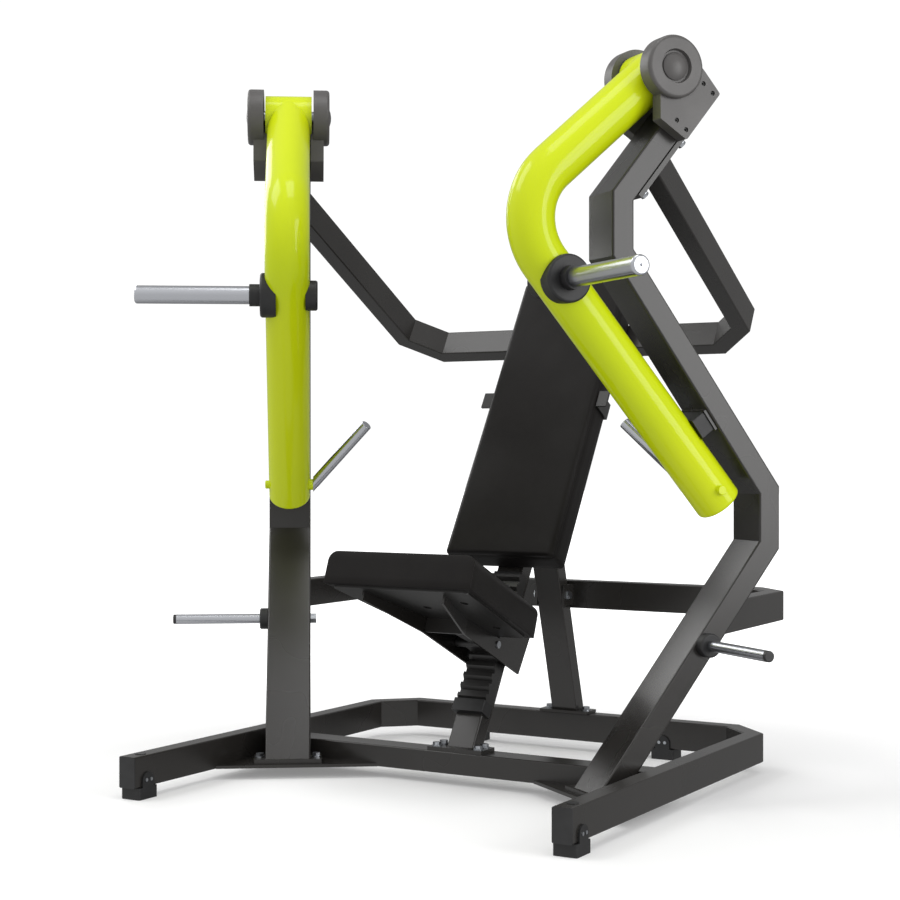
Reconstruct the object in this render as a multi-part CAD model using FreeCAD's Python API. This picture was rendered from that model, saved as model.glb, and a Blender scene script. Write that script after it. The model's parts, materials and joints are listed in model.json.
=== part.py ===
import FreeCAD, Part
import math
import os

from FreeCAD import Placement, Rotation, Vector

# Plate-loaded chest press: a floor frame with two splayed uprights, a lever arm
# hanging from a pivot on each, and a seat that climbs a leaning spine.
# Lengths in mm, angles in degrees. X runs across, +Y backwards (the user faces -Y),
# +Z up. Heights are above the floor and "y" values run back from the front ends of
# the side rails; export() then moves the origin to the middle of the footprint.

# ---- base frame
BASE_HALF_WIDTH = 637.0       # outside of a side rail
BASE_LENGTH = 1272.0          # front ends of the rails to the back of the rear rail
FOOT_HEIGHT = 30.0            # floor to the underside of the rails
RAIL_HEIGHT = 80.0
RAIL_WIDTH = 50.0
RAIL_WALL = 4.0
RAIL_CORNER = 4.0             # outside corner radius of the drawn tube
CORNER_CUT = 110.0            # set-back of the 45-degree rear corners, outside
CROSSBAR_FRONT = 576.0
CROSSBAR_DEPTH = 80.0
CROSSBAR_HEIGHT = 58.0
GUSSET_THICK = 8.0
GUSSET_REACH = 350.0          # along the crossbar
GUSSET_DROP = 251.0           # along the side rail
FOOT_LENGTH = 70.0
FOOT_FLAP = 5.0               # wall of the foot's side flaps
FOOT_FLAP_HEIGHT = 38.0       # how far a flap climbs the rail
FRONT_FOOT_Y = 45.0
REAR_FOOT_X = 314.0
END_LID = 3.0                 # plastic lid on an open tube end
PLUG_Y = 49.0
PLUG_RADIUS = 14.0

# ---- lever arms
ARM_RADIUS = 59.0
ARM_WALL = 4.0
ARM_BEND_S = -405.0
ARM_BEND_Z = 1458.0
ARM_END_S = 195.0
ARM_END_Z = 746.0
ARM_BEND_RADIUS = 165.0
ARM_END_ROUND = 9.0
HUB_RADIUS = ARM_RADIUS + 0.5
HUB_HALF = ARM_RADIUS + 5.0
BEARING_RADIUS = 31.0
BEARING_WIDTH = 16.0
RUN_FIT = 0.05                # radial clearance of a running fit
SOFT_GAP = 0.3                # room round rubber and upholstery

# ---- uprights: each lies in a vertical plane splayed outwards going back
SPLAY = 35.0
PIVOT_X = 553.4
PIVOT_Y = 609.5
PIVOT_Z = 1812.0
UPRIGHT_WIDTH = 2 * ARM_RADIUS + 4.0    # across the plane; the arm hangs within it
UPRIGHT_DEPTH = 60.0          # in the plane
UPRIGHT_WALL = 4.0
UPRIGHT_CORNER = 5.0
UPRIGHT_FOOT_S = -151.0       # in-plane distance from the pivot, + backwards
UPRIGHT_REAR_S = 306.5        # rear elbow
UPRIGHT_REAR_Z = (642.0, 780.5)
UPRIGHT_FRONT_S = -118.0      # front elbow
UPRIGHT_FRONT_Z = (1360.5, 1498.0)
UPRIGHT_HEAD_S = 108.7
UPRIGHT_HEAD_Z = 1780.0
BASE_PLATE_THICK = 12.0
BASE_PLATE_REACH = 31.0       # beyond each side face of the upright
BASE_PLATE_LIP = 9.0          # beyond the upright in the plane

# ---- pivot brackets
TAIL_THICK = 36.5
BOSS_RADIUS = 77.0
BOSS_INNER = UPRIGHT_WIDTH / 2 + 8.0    # face beside the hub, from the arm's plane
BOSS_OUTER = BOSS_INNER + 44.5
BOSS_RIM = 9.0
BOSS_RECESS_RADIUS = 42.0
BOSS_RECESS_DEPTH = 9.0
HUB_POCKET = 2.5              # radial room round the hub in the bracket
SHAFT_RADIUS = 15.0
SPACER_RADIUS = 18.0
CAP_RADIUS = 34.0
CAP_RISE = 11.0
SCREW_HEAD_RADIUS = 6.0
SCREW_SHANK_RADIUS = 4.0
SCREW_RECESS = 12.0

# ---- plate horns and handles
HORN_RADIUS = 24.0
HORN_S = -270.0
HORN_Z = 1291.0
HORN_TIP = ARM_RADIUS + 341.0
HORN_TIP_ROUND = 7.0
HORN_STUD_RADIUS = 12.0
HORN_NECK_RADIUS = 22.0       # turned-down root, inside the collar
NECK_RELIEF = 1.0             # neck left bare past a collar's face
COLLAR_RADIUS = 59.0
COLLAR_BACK = 30.0
COLLAR_FACE = ARM_RADIUS + 13.0
COLLAR_SLEEVE_RADIUS = 29.5
COLLAR_SLEEVE_END = ARM_RADIUS + 41.0
INNER_BOSS_RADIUS = 40.0
INNER_BOSS_END = ARM_RADIUS + 21.0
HANDLE_RADIUS = 15.0
HANDLE_LENGTH = 255.0
HANDLE_S = 160.0
HANDLE_Z = 782.0
HANDLE_LEAN = (-0.595, -0.441, 0.672)
HANDLE_STUB_END = ARM_RADIUS + 9.0
BOLT_BOSS_RADIUS = 12.0
BOLT_BOSS_END = ARM_RADIUS + 11.0

# ---- arm stop and storage peg
STOP_Z = 977.0
STOP_LENGTH = 62.0
STOP_HALF_WIDTH = 54.0
STOP_PLATE = 8.0
STOP_WRAP = 12.0              # how far the buffer climbs round the arm
PEG_Z = 399.0
PEG_RADIUS = 14.0
PEG_TIP = 330.0
PEG_CAP = 9.0
PEG_CAP_DROP = 0.3            # cap below the bar, so that plates clear it
PEG_NECK_RADIUS = 12.0
PEG_STUD_RADIUS = 8.0
PEG_COLLAR_RADIUS = 30.0
PEG_COLLAR_THICK = 23.0
PEG_NUT_RADIUS = 15.0
PEG_NUT_THICK = 16.0

# ---- mid frame, behind the uprights at thigh height
MID_Z = 462.0
MID_HALF_WIDTH = 700.0
MID_SETBACK = 34.0            # its rear face in front of the rear rail's
MID_REAR = BASE_LENGTH - MID_SETBACK
MID_CUT = 90.0
LUG_THICK = 8.0
LUG_REACH = 22.0              # in front of the bolt
LUG_HALF_HEIGHT = 30.0
MID_NUT_THICK = 9.0

# ---- rear yoke, behind the shoulders
YOKE_SLOPE = 29.5             # its plane climbs forwards by this angle
YOKE_EDGE_Y = 1316.0          # lower rear edge of the cross member
YOKE_EDGE_Z = 1155.3
YOKE_HALF_WIDTH = 575.8
YOKE_CUT = 108.0
YOKE_PLATE_THICK = 12.0
YOKE_PLATE_SPAN = (30.0, 235.0)   # along the top leg of the upright, from its elbow

# ---- spine, post and rack
SPINE_LEAN = 31.4
SPINE_FOOT_Y = 605.0          # front face where it meets the crossbar
SPINE_WIDTH = 80.0
SPINE_DEPTH = 50.0
SPINE_LENGTH = 1400.0         # drawn past the yoke, then cut off under it
SPINE_PLATE_THICK = 10.0
SPINE_PLATE_SIZE = (166.0, 74.0)
POST_WIDTH = 80.0
POST_DEPTH = 50.0
POST_LENGTH = 1300.0          # drawn past the spine, then coped to it
POST_LEAN = 16.0
POST_PLATE_THICK = 8.0
POST_PLATE_WIDTH = 155.0
RACK_BASE = 143.0
RACK_TOP = 535.0
RACK_PITCH = 30.0
RACK_RISE = 14.0
RACK_ROOT = 4.0
RACK_SKIN = 4.0
RACK_FLANGE = 30.0
RACK_STOP_HEIGHT = 35.0
RACK_STOP_RISE = 19.0

# ---- backrest
BACK_WIDTH = 340.0
BACK_BOTTOM = 545.0
BACK_LENGTH = 921.0
BACK_THICK = 90.0
CROSS_PLATE_THICK = 6.0
CROSS_PLATE_HEIGHT = 50.0
BOARD_THICK = 12.0
BOARD_INSET = 12.0
TAB_H = 1056.0                # along the spine
TAB_REACH = 31.0
TAB_FORWARD = 73.0
LOWER_PLATE_H = 660.0
LOWER_PLATE_HALF = 110.0

# ---- seat and carriage
SEAT_FRONT_WIDTH = 432.0
SEAT_REAR_WIDTH = 340.0
SEAT_DEPTH = 450.0
SEAT_THICK = 80.0
SEAT_TILT = 20.9
SEAT_REAR_Y = 709.0           # lower rear edge of the pad
SEAT_REAR_Z = 384.0
SEAT_PLATE_THICK = 5.0
SEAT_PLATE_INSET = 16.0
CHEEK_INNER = 60.0            # from the middle plane
CHEEK_THICK = 6.0
CHEEK_FOLD = 180.0            # in front of the pad's rear edge
CHEEK_FLARE = 404.0           # where the flared front ends
CHEEK_FLARE_X = 116.0
CHEEK_TOP_H = 402.0           # along the spine
CHEEK_BACK = 92.0             # behind the spine's front face
TIE_THICK = 6.0
GLIDE_LENGTH = 42.0
GLIDE_THICK = 7.0
PAWL_PIN_RADIUS = 6.0
PAWL_PIN_Y = -2.0             # from the pad's lower rear edge
PAWL_PIN_Z = -23.0
PAWL_EYE_RADIUS = 12.0
PAWL_HALF_WIDTH = 32.0
PAWL_LEVER = 120.0
PAWL_CLEAR = 1.0              # nose to rib crest
GAS_DEPTH = 74.0              # gas spring axis behind the spine's front face
GAS_RADIUS = 14.0
GAS_BORE = 11.0
GAS_WALL_END = 8.0
GAS_GLAND = 12.0
GAS_ROD_RADIUS = 5.0
GAS_BASE = 165.0              # along the spine, seat at rest
GAS_TOP = 384.0
GAS_ROD_TOP = 311.0
GAS_PISTON = 10.0
GAS_BRACKET = (58.0, 96.0)

# ---- M12 hex bolts
BOLT_RADIUS = 6.0
BOLT_HOLE = 6.5
BOLT_HEAD = 11.0              # across the corners, halved
BOLT_HEAD_THICK = 8.0
WASHER_RADIUS = 13.0
WASHER_THICK = 2.5

X = Vector(1, 0, 0)
Y = Vector(0, 1, 0)
Z = Vector(0, 0, 1)
ORIGIN = Vector(0, 0, 0)

RAIL_BASE = FOOT_HEIGHT
RAIL_TOP = FOOT_HEIGHT + RAIL_HEIGHT
RAIL_MID_X = BASE_HALF_WIDTH - RAIL_WIDTH / 2
RAIL_INNER_X = BASE_HALF_WIDTH - RAIL_WIDTH
REAR_RAIL_Y = BASE_LENGTH - RAIL_WIDTH / 2
CROSSBAR_TOP = RAIL_BASE + CROSSBAR_HEIGHT
UPRIGHT_BASE = RAIL_BASE + GUSSET_THICK + BASE_PLATE_THICK


# ---- shape helpers ---------------------------------------------------------------

def box(xs, ys, zs):
    size = (xs[1] - xs[0], ys[1] - ys[0], zs[1] - zs[0])
    return Part.makeBox(size[0], size[1], size[2], Vector(xs[0], ys[0], zs[0]))


def cylinder(radius, start, direction, length):
    return Part.makeCylinder(radius, length, start, direction)


def prism(points, travel):
    wire = Part.makePolygon(list(points) + [points[0]])
    return Part.Face(wire).extrude(travel)


def round_edges(shape, radius, wanted):
    edges = [edge for edge in shape.Edges if wanted(edge)]
    return shape.makeFillet(radius, edges)


def parallel_to(direction):
    """A test for straight edges that run along a direction."""
    def test(edge):
        if not isinstance(edge.Curve, Part.Line):
            return False
        return edge.tangentAt(edge.FirstParameter).cross(direction).Length < 1e-6
    return test


def circle_at(axis, distance, radius):
    """A test for whole circles about an axis through the origin, at one height on it."""
    def test(edge):
        if not isinstance(edge.Curve, Part.Circle):
            return False
        curve = edge.Curve
        on_height = abs(curve.Center.dot(axis) - distance) < 1e-3
        return on_height and abs(curve.Radius - radius) < 1e-3
    return test


def rounded_rectangle(centre, across, up, width, height, radius):
    """A closed wire: a rectangle with round corners, in the plane of across and up."""
    half_w = width / 2
    half_h = height / 2
    slant = radius * (1 - math.sqrt(0.5))

    def at(u, v):
        return centre + across * u + up * v

    edges = []
    corners = ((1, 1), (-1, 1), (-1, -1), (1, -1))
    for number, (sign_u, sign_v) in enumerate(corners):
        on_side = at(sign_u * half_w, sign_v * (half_h - radius))
        middle = at(sign_u * (half_w - slant), sign_v * (half_h - slant))
        on_top = at(sign_u * (half_w - radius), sign_v * half_h)
        first, last = (on_side, on_top) if sign_u == sign_v else (on_top, on_side)
        edges.append(Part.Arc(first, middle, last).toShape())
        next_u, next_v = corners[(number + 1) % 4]
        if sign_v == next_v:
            following = at(next_u * (half_w - radius), sign_v * half_h)
        else:
            following = at(sign_u * half_w, next_v * (half_h - radius))
        edges.append(Part.makeLine(last, following))
    return Part.Wire(edges)


def swept(path, across, width, height, radius):
    """A rounded-rectangle bar along a bent path lying square to 'across'."""
    spine = Part.makePolygon(path)
    heading = (path[1] - path[0]).normalize()
    profile = rounded_rectangle(path[0], across, heading.cross(across), width, height, radius)
    return spine.makePipeShell([profile], True, False, 1)


def rect_tube(path, across, width, height, wall, corner):
    """The solid envelope and the hollow tube, mitred at each bend."""
    envelope = swept(path, across, width, height, corner)
    bore = swept(path, across, width - 2 * wall, height - 2 * wall, max(corner - wall, 1.0))
    return envelope, envelope.cut(bore)


def largest(shape):
    return max(shape.Solids, key=lambda solid: solid.Volume)


def hexagon(radius, start, direction, length):
    side = direction.cross(Z if abs(direction.dot(Z)) < 0.9 else X).normalize()
    other = direction.cross(side)
    corners = []
    for step in range(6):
        angle = math.radians(60 * step)
        corners.append(start + (side * math.cos(angle) + other * math.sin(angle)) * radius)
    return prism(corners, direction * length)


def hex_bolt(seat, direction, grip):
    """Head and washer stand on 'seat', the shank runs back against 'direction'."""
    washer = cylinder(WASHER_RADIUS, seat, direction, WASHER_THICK)
    washer = washer.cut(cylinder(BOLT_RADIUS + 0.2, seat - direction, direction, WASHER_THICK + 2))
    top = seat + direction * WASHER_THICK
    head = hexagon(BOLT_HEAD, top, direction, BOLT_HEAD_THICK)
    shank = cylinder(BOLT_RADIUS, seat - direction * grip, direction, grip + WASHER_THICK)
    return [head.fuse(shank).removeSplitter(), washer]


def bolt_hole(seat, direction, grip):
    return cylinder(BOLT_HOLE, seat - direction * (grip + 1), direction, grip + 2)


def mirrored(shape):
    return shape.mirror(ORIGIN, X)


def both_sides(shapes):
    return list(shapes) + [mirrored(shape) for shape in shapes]


# ---- the upright's plane: off (outwards), s (backwards) and z --------------------

PLANE = Placement(Vector(PIVOT_X, PIVOT_Y, 0), Rotation(Z, -SPLAY))


def in_plane(shape):
    placed = shape.copy()
    placed.Placement = PLANE.multiply(placed.Placement)
    return placed


def slope_between(low, high):
    return math.degrees(math.atan2(high.y - low.y, high.z - low.z))


UPRIGHT_PATH = [
    Vector(0, UPRIGHT_FOOT_S, UPRIGHT_BASE),
    Vector(0, UPRIGHT_REAR_S, UPRIGHT_REAR_Z[0]),
    Vector(0, UPRIGHT_REAR_S, UPRIGHT_REAR_Z[1]),
    Vector(0, UPRIGHT_FRONT_S, UPRIGHT_FRONT_Z[0]),
    Vector(0, UPRIGHT_FRONT_S, UPRIGHT_FRONT_Z[1]),
    Vector(0, UPRIGHT_HEAD_S, UPRIGHT_HEAD_Z),
]
PIVOT = Vector(0, 0, PIVOT_Z)
UPRIGHT_SIDE = UPRIGHT_WIDTH / 2
HEAD_DIRECTION = (UPRIGHT_PATH[5] - UPRIGHT_PATH[4]).normalize()
HEAD_NORMAL = HEAD_DIRECTION.cross(X)      # square to the top leg, towards the back
if HEAD_NORMAL.y < 0:
    HEAD_NORMAL = HEAD_NORMAL * -1


def tail_outline():
    """The bracket's tail: it hugs the top leg and tapers up to the boss."""
    half = UPRIGHT_DEPTH / 2
    foot = UPRIGHT_PATH[4]

    def on_leg(along, square):
        return foot + HEAD_DIRECTION * along + HEAD_NORMAL * square

    return [
        on_leg(207.0, half + 4),
        on_leg(361.0, half + 4),
        on_leg(373.0, -half),
        PIVOT + Vector(0, BOSS_RADIUS * 0.9, 20),
        PIVOT + Vector(0, -36, -20),
        Vector(0, -36, 1685),
    ]


def tail_screw_points():
    foot = UPRIGHT_PATH[4]
    points = []
    for along in (225.0, 347.0):
        for square in (-17.0, 17.0):
            points.append(foot + HEAD_DIRECTION * along + HEAD_NORMAL * square)
    return points


def pivot_bracket():
    """Tail plate with its round boss, outer one of the right-hand pair."""
    inner = UPRIGHT_SIDE
    outline = [point + X * inner for point in tail_outline()]
    tail = prism(outline, X * TAIL_THICK)
    tail = round_edges(tail, 6.0, parallel_to(X))
    boss = cylinder(BOSS_RADIUS, PIVOT + X * BOSS_INNER, X, BOSS_OUTER - BOSS_INNER)
    boss = round_edges(boss, BOSS_RIM, circle_at(X, BOSS_OUTER, BOSS_RADIUS))
    bracket = tail.fuse(boss)
    pocket = cylinder(HUB_RADIUS + HUB_POCKET, PIVOT + X * (inner - 1), X, BOSS_INNER - inner + 1)
    floor = BOSS_OUTER - BOSS_RECESS_DEPTH
    recess = Part.makeCone(BOSS_RECESS_RADIUS - 3, BOSS_RECESS_RADIUS, BOSS_RECESS_DEPTH,
                           PIVOT + X * floor, X)
    bore = cylinder(SHAFT_RADIUS + RUN_FIT, PIVOT + X * (inner - 1), X, BOSS_OUTER)
    bracket = bracket.cut(pocket).cut(recess).cut(bore)
    outer = inner + TAIL_THICK
    for point in tail_screw_points():
        head = cylinder(SCREW_HEAD_RADIUS + 0.3, point + X * (outer - SCREW_RECESS), X, SCREW_RECESS + 1)
        shank = cylinder(SCREW_SHANK_RADIUS + 0.3, point + X * (inner - 1), X, TAIL_THICK)
        bracket = bracket.cut(head).cut(shank)
    return bracket


def tail_screws():
    """Recessed cap screws through the tail into the upright's wall."""
    outer = UPRIGHT_SIDE + TAIL_THICK
    seat = outer - SCREW_RECESS
    tip = UPRIGHT_SIDE - UPRIGHT_WALL - 8
    screws = []
    for point in tail_screw_points():
        head = cylinder(SCREW_HEAD_RADIUS, point + X * seat, X, 8.0)
        socket = hexagon(3.2, point + X * (seat + 4), X, 5.0)
        shank = cylinder(SCREW_SHANK_RADIUS, point + X * tip, X, seat - tip)
        screws.append(head.cut(socket).fuse(shank).removeSplitter())
    return screws


def pivot_cap():
    """Domed cover over the shaft's end, seated in the boss recess."""
    floor = BOSS_OUTER - BOSS_RECESS_DEPTH
    rim = 3.0
    radius = (CAP_RADIUS ** 2 + CAP_RISE ** 2) / (2 * CAP_RISE)
    ball = Part.makeSphere(radius, PIVOT + X * (floor + rim + CAP_RISE - radius))
    drum = cylinder(CAP_RADIUS, PIVOT + X * floor, X, rim + CAP_RISE + 1)
    return drum.common(ball)


def pivot_shaft():
    reach = BOSS_OUTER - BOSS_RECESS_DEPTH
    return cylinder(SHAFT_RADIUS, PIVOT - X * reach, X, 2 * reach)


def pivot_spacer():
    length = BOSS_INNER - HUB_HALF - 2 * RUN_FIT
    ring = cylinder(SPACER_RADIUS, PIVOT + X * (HUB_HALF + RUN_FIT), X, length)
    return ring.cut(cylinder(SHAFT_RADIUS + RUN_FIT, PIVOT, X, BOSS_OUTER))


def across_plane(shape):
    """The same piece on the other side of the arm's plane."""
    return shape.mirror(ORIGIN, X)


# ---- lever arm -------------------------------------------------------------------

ARM_BEND = Vector(0, ARM_BEND_S, ARM_BEND_Z)
ARM_END = Vector(0, ARM_END_S, ARM_END_Z)
ARM_LOWER = (ARM_END - ARM_BEND).normalize()


def arm_path(end):
    """Straight, arc, straight: from the pivot round the elbow to 'end'."""
    upper = (ARM_BEND - PIVOT).normalize()
    turn = upper.getAngle(ARM_LOWER)
    reach = ARM_BEND_RADIUS * math.tan(turn / 2)
    first = ARM_BEND - upper * reach
    last = ARM_BEND + ARM_LOWER * reach
    inward = (ARM_LOWER - upper).normalize()
    centre = ARM_BEND + inward * (ARM_BEND_RADIUS / math.cos(turn / 2))
    middle = centre - inward * ARM_BEND_RADIUS
    arc = Part.Arc(first, middle, last).toShape()
    return Part.Wire([Part.makeLine(PIVOT, first), arc, Part.makeLine(last, end)])


def arm_sweep(radius, end):
    path = arm_path(end)
    heading = (ARM_BEND - PIVOT).normalize()
    profile = Part.Wire(Part.makeCircle(radius, PIVOT, heading))
    return path.makePipeShell([profile], True, False)


def arm_envelope():
    return arm_sweep(ARM_RADIUS, ARM_END)


def is_end_rim(edge):
    if not isinstance(edge.Curve, Part.Circle):
        return False
    same_place = edge.Curve.Center.distanceToPoint(ARM_END) < 1e-3
    return same_place and abs(edge.Curve.Radius - ARM_RADIUS) < 1e-3


def lever_arm():
    """Bent round tube with a closed lower end, a cross hub and a bolt boss."""
    tube = round_edges(arm_envelope(), ARM_END_ROUND, is_end_rim)
    hub = cylinder(HUB_RADIUS, PIVOT - X * HUB_HALF, X, 2 * HUB_HALF)
    handle = Vector(0, HANDLE_S, HANDLE_Z)
    boss = cylinder(BOLT_BOSS_RADIUS, handle, X, BOLT_BOSS_END)
    boss = round_edges(boss, 2.0, circle_at(X, BOLT_BOSS_END, BOLT_BOSS_RADIUS))
    stub = cylinder(HANDLE_RADIUS + 1, handle, X * -1, HANDLE_STUB_END)
    solid = tube.fuse([hub, boss, stub])
    hollow = arm_sweep(ARM_RADIUS - ARM_WALL, ARM_END - ARM_LOWER * (ARM_WALL + ARM_END_ROUND))
    web = cylinder(HUB_RADIUS, PIVOT - X * HUB_HALF, X, 2 * HUB_HALF)
    seats = cylinder(BEARING_RADIUS, PIVOT - X * HUB_HALF, X, BEARING_WIDTH)
    seats = seats.fuse(across_plane(seats))
    bore = cylinder(BEARING_RADIUS - 4, PIVOT - X * HUB_HALF, X, 2 * HUB_HALF)
    stud = cylinder(HORN_STUD_RADIUS + 0.1, Vector(-100, HORN_S, HORN_Z), X, 200)
    arm = solid.cut(hollow.cut(web)).cut(seats).cut(bore).cut(stud)
    return largest(arm)


def hub_bearing():
    """Sealed ball bearing drawn as its outer ring and the part that runs on the shaft."""
    start = PIVOT + X * (HUB_HALF - BEARING_WIDTH)
    ring = cylinder(BEARING_RADIUS, start, X, BEARING_WIDTH)
    return ring.cut(cylinder(SHAFT_RADIUS + RUN_FIT, start - X, X, BEARING_WIDTH + 2))


def plate_horn():
    """Round horn with a rounded tip, a centre drilling, a neck and a stud through the arm."""
    base = Vector(0, HORN_S, HORN_Z)
    root = ARM_RADIUS + SOFT_GAP
    shoulder = COLLAR_SLEEVE_END + NECK_RELIEF
    bar = cylinder(HORN_RADIUS, base + X * shoulder, X, HORN_TIP - shoulder)
    neck = cylinder(HORN_NECK_RADIUS, base + X * root, X, shoulder - root)
    tip = base + X * HORN_TIP

    def is_tip(edge):
        return isinstance(edge.Curve, Part.Circle) and edge.Curve.Center.distanceToPoint(tip) < 1e-3

    bar = round_edges(bar, HORN_TIP_ROUND, is_tip)
    drilling = Part.makeCone(0.5, 3.5, 6.0, tip - X * 6.0, X)
    stud = cylinder(HORN_STUD_RADIUS, base - X * (INNER_BOSS_END - 8), X, INNER_BOSS_END + ARM_RADIUS)
    return bar.cut(drilling).fuse([neck, stud]).removeSplitter()


def horn_collar(clear_arm):
    """Rubber flange saddled on the tube, stepping down to a sleeve round the horn."""
    base = Vector(0, HORN_S, HORN_Z)
    flange = cylinder(COLLAR_RADIUS, base + X * COLLAR_BACK, X, COLLAR_FACE - COLLAR_BACK)
    face = base + X * COLLAR_FACE

    def is_face(edge):
        return isinstance(edge.Curve, Part.Circle) and edge.Curve.Center.distanceToPoint(face) < 1e-3

    flange = round_edges(flange, 7.0, is_face)
    sleeve = cylinder(COLLAR_SLEEVE_RADIUS, face - X, X, COLLAR_SLEEVE_END - COLLAR_FACE + 1)
    hole = cylinder(HORN_NECK_RADIUS + 0.1, base, X, HORN_TIP)
    return largest(flange.fuse(sleeve).cut(hole).cut(clear_arm))


def inner_boss(clear_arm):
    """Rubber cover over the stud's end on the inner side of the arm."""
    base = Vector(0, HORN_S, HORN_Z)
    end = base - X * INNER_BOSS_END
    drum = cylinder(INNER_BOSS_RADIUS, end, X, INNER_BOSS_END - 48)

    def is_end(edge):
        return isinstance(edge.Curve, Part.Circle) and edge.Curve.Center.distanceToPoint(end) < 1e-3

    drum = round_edges(drum, 6.0, is_end)
    room = cylinder(HORN_STUD_RADIUS + 0.1, end + X * 7.5, X, INNER_BOSS_END)
    return largest(drum.cut(room).cut(clear_arm))


def handle_bar():
    """Straight round grip leaning inwards and up, mitred onto the arm's stub."""
    lean = Vector(*HANDLE_LEAN).normalize()
    root = Vector(-HANDLE_STUB_END, HANDLE_S, HANDLE_Z)
    run_in = 40.0
    bar = cylinder(HANDLE_RADIUS, root - lean * run_in, lean, HANDLE_LENGTH + run_in)
    tip = root + lean * HANDLE_LENGTH

    def is_tip(edge):
        return isinstance(edge.Curve, Part.Circle) and edge.Curve.Center.distanceToPoint(tip) < 1e-3

    bar = round_edges(bar, 1.5, is_tip)
    reach = 60.0
    beyond = box((-HANDLE_STUB_END, reach), (HANDLE_S - reach, HANDLE_S + reach),
                 (HANDLE_Z - reach, HANDLE_Z + reach))
    return largest(bar.cut(beyond))


# ---- pieces on the upright -------------------------------------------------------

def upright_shapes():
    """Envelope and drilled hollow tube of the right-hand upright."""
    first = (UPRIGHT_PATH[1] - UPRIGHT_PATH[0]).normalize()
    path = [UPRIGHT_PATH[0] - first * 60] + UPRIGHT_PATH[1:]
    envelope, tube = rect_tube(path, X, UPRIGHT_WIDTH, UPRIGHT_DEPTH, UPRIGHT_WALL, UPRIGHT_CORNER)
    below = box((-200, 200), (UPRIGHT_FOOT_S - 300, UPRIGHT_FOOT_S + 300),
                (UPRIGHT_BASE - 200, UPRIGHT_BASE))
    return envelope.cut(below), tube.cut(below)


def upright_drillings():
    holes = []
    for point in tail_screw_points():
        holes.append(cylinder(SCREW_SHANK_RADIUS + 0.3, point - X * 100, X, 200))
    peg = peg_root()
    holes.append(cylinder(PEG_STUD_RADIUS + 0.2, peg - X * 100, X, 200))
    for seat in yoke_bolt_seats():
        holes.append(bolt_hole(seat, HEAD_NORMAL, YOKE_PLATE_THICK + 20))
    return holes


def peg_root():
    low, high = UPRIGHT_PATH[0], UPRIGHT_PATH[1]
    share = (PEG_Z - low.z) / (high.z - low.z)
    return Vector(0, low.y + share * (high.y - low.y), PEG_Z)


def base_plate_outline():
    half = UPRIGHT_DEPTH / 2 / math.cos(math.radians(slope_between(*UPRIGHT_PATH[:2])))
    reach = UPRIGHT_SIDE + BASE_PLATE_REACH
    ys = (UPRIGHT_FOOT_S - half - BASE_PLATE_LIP, UPRIGHT_FOOT_S + half + BASE_PLATE_LIP - 3)
    return (-reach, reach), ys


def upright_base_bolt_seats():
    reach = UPRIGHT_SIDE + BASE_PLATE_REACH / 2
    return [Vector(side * reach, UPRIGHT_FOOT_S, UPRIGHT_BASE) for side in (-1, 1)]


def upright_base_plate():
    xs, ys = base_plate_outline()
    plate = box(xs, ys, (UPRIGHT_BASE - BASE_PLATE_THICK, UPRIGHT_BASE))
    plate = round_edges(plate, 4.0, parallel_to(Z))
    for seat in upright_base_bolt_seats():
        plate = plate.cut(bolt_hole(seat, Z, BASE_PLATE_THICK))
    return plate


def upright_end_cap():
    """Plastic plug that closes the head of the tube."""
    end = UPRIGHT_PATH[5]
    lid = swept([end, end + HEAD_DIRECTION * END_LID], X, UPRIGHT_WIDTH, UPRIGHT_DEPTH, UPRIGHT_CORNER)
    fit = 2 * UPRIGHT_WALL + 0.4
    plug = swept([end - HEAD_DIRECTION * 9, end + HEAD_DIRECTION * 1], X,
                 UPRIGHT_WIDTH - fit, UPRIGHT_DEPTH - fit, 2.0)
    return lid.fuse(plug)


def stop_frame():
    """Point on the upright's front face behind the arm stop, its uphill and outward normals."""
    low, high = UPRIGHT_PATH[2], UPRIGHT_PATH[3]
    uphill = (high - low).normalize()
    outward = Vector(0, -uphill.z, uphill.y)
    if outward.y > 0:
        outward = outward * -1
    share = (STOP_Z - low.z) / (high.z - low.z)
    centre = low + (high - low) * share + outward * (UPRIGHT_DEPTH / 2)
    return centre, uphill, outward


def stop_block(low, high, half_width, half_length):
    centre, uphill, outward = stop_frame()
    corners = []
    for along, out in ((-1, low), (1, low), (1, high), (-1, high)):
        corners.append(centre + uphill * (along * half_length) + outward * out - X * half_width)
    return prism(corners, X * (2 * half_width))


def arm_gap():
    """Distance from the upright's front face to the arm's centreline at the stop."""
    centre = stop_frame()[0]
    across = ARM_LOWER.cross(X)
    return abs((centre - ARM_BEND).dot(across))


def stop_bracket():
    plate = stop_block(0.0, STOP_PLATE, STOP_HALF_WIDTH, STOP_LENGTH / 2)
    return round_edges(plate, 3.0, parallel_to(stop_frame()[2]))


def stop_buffer(clear_arm):
    """Rubber cradle that the tube lies in at rest."""
    reach = arm_gap() - ARM_RADIUS + STOP_WRAP
    block = stop_block(STOP_PLATE, reach, STOP_HALF_WIDTH - 4, STOP_LENGTH / 2 - 3)
    block = round_edges(block, 4.0, parallel_to(stop_frame()[2]))
    return largest(block.cut(clear_arm))


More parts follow.
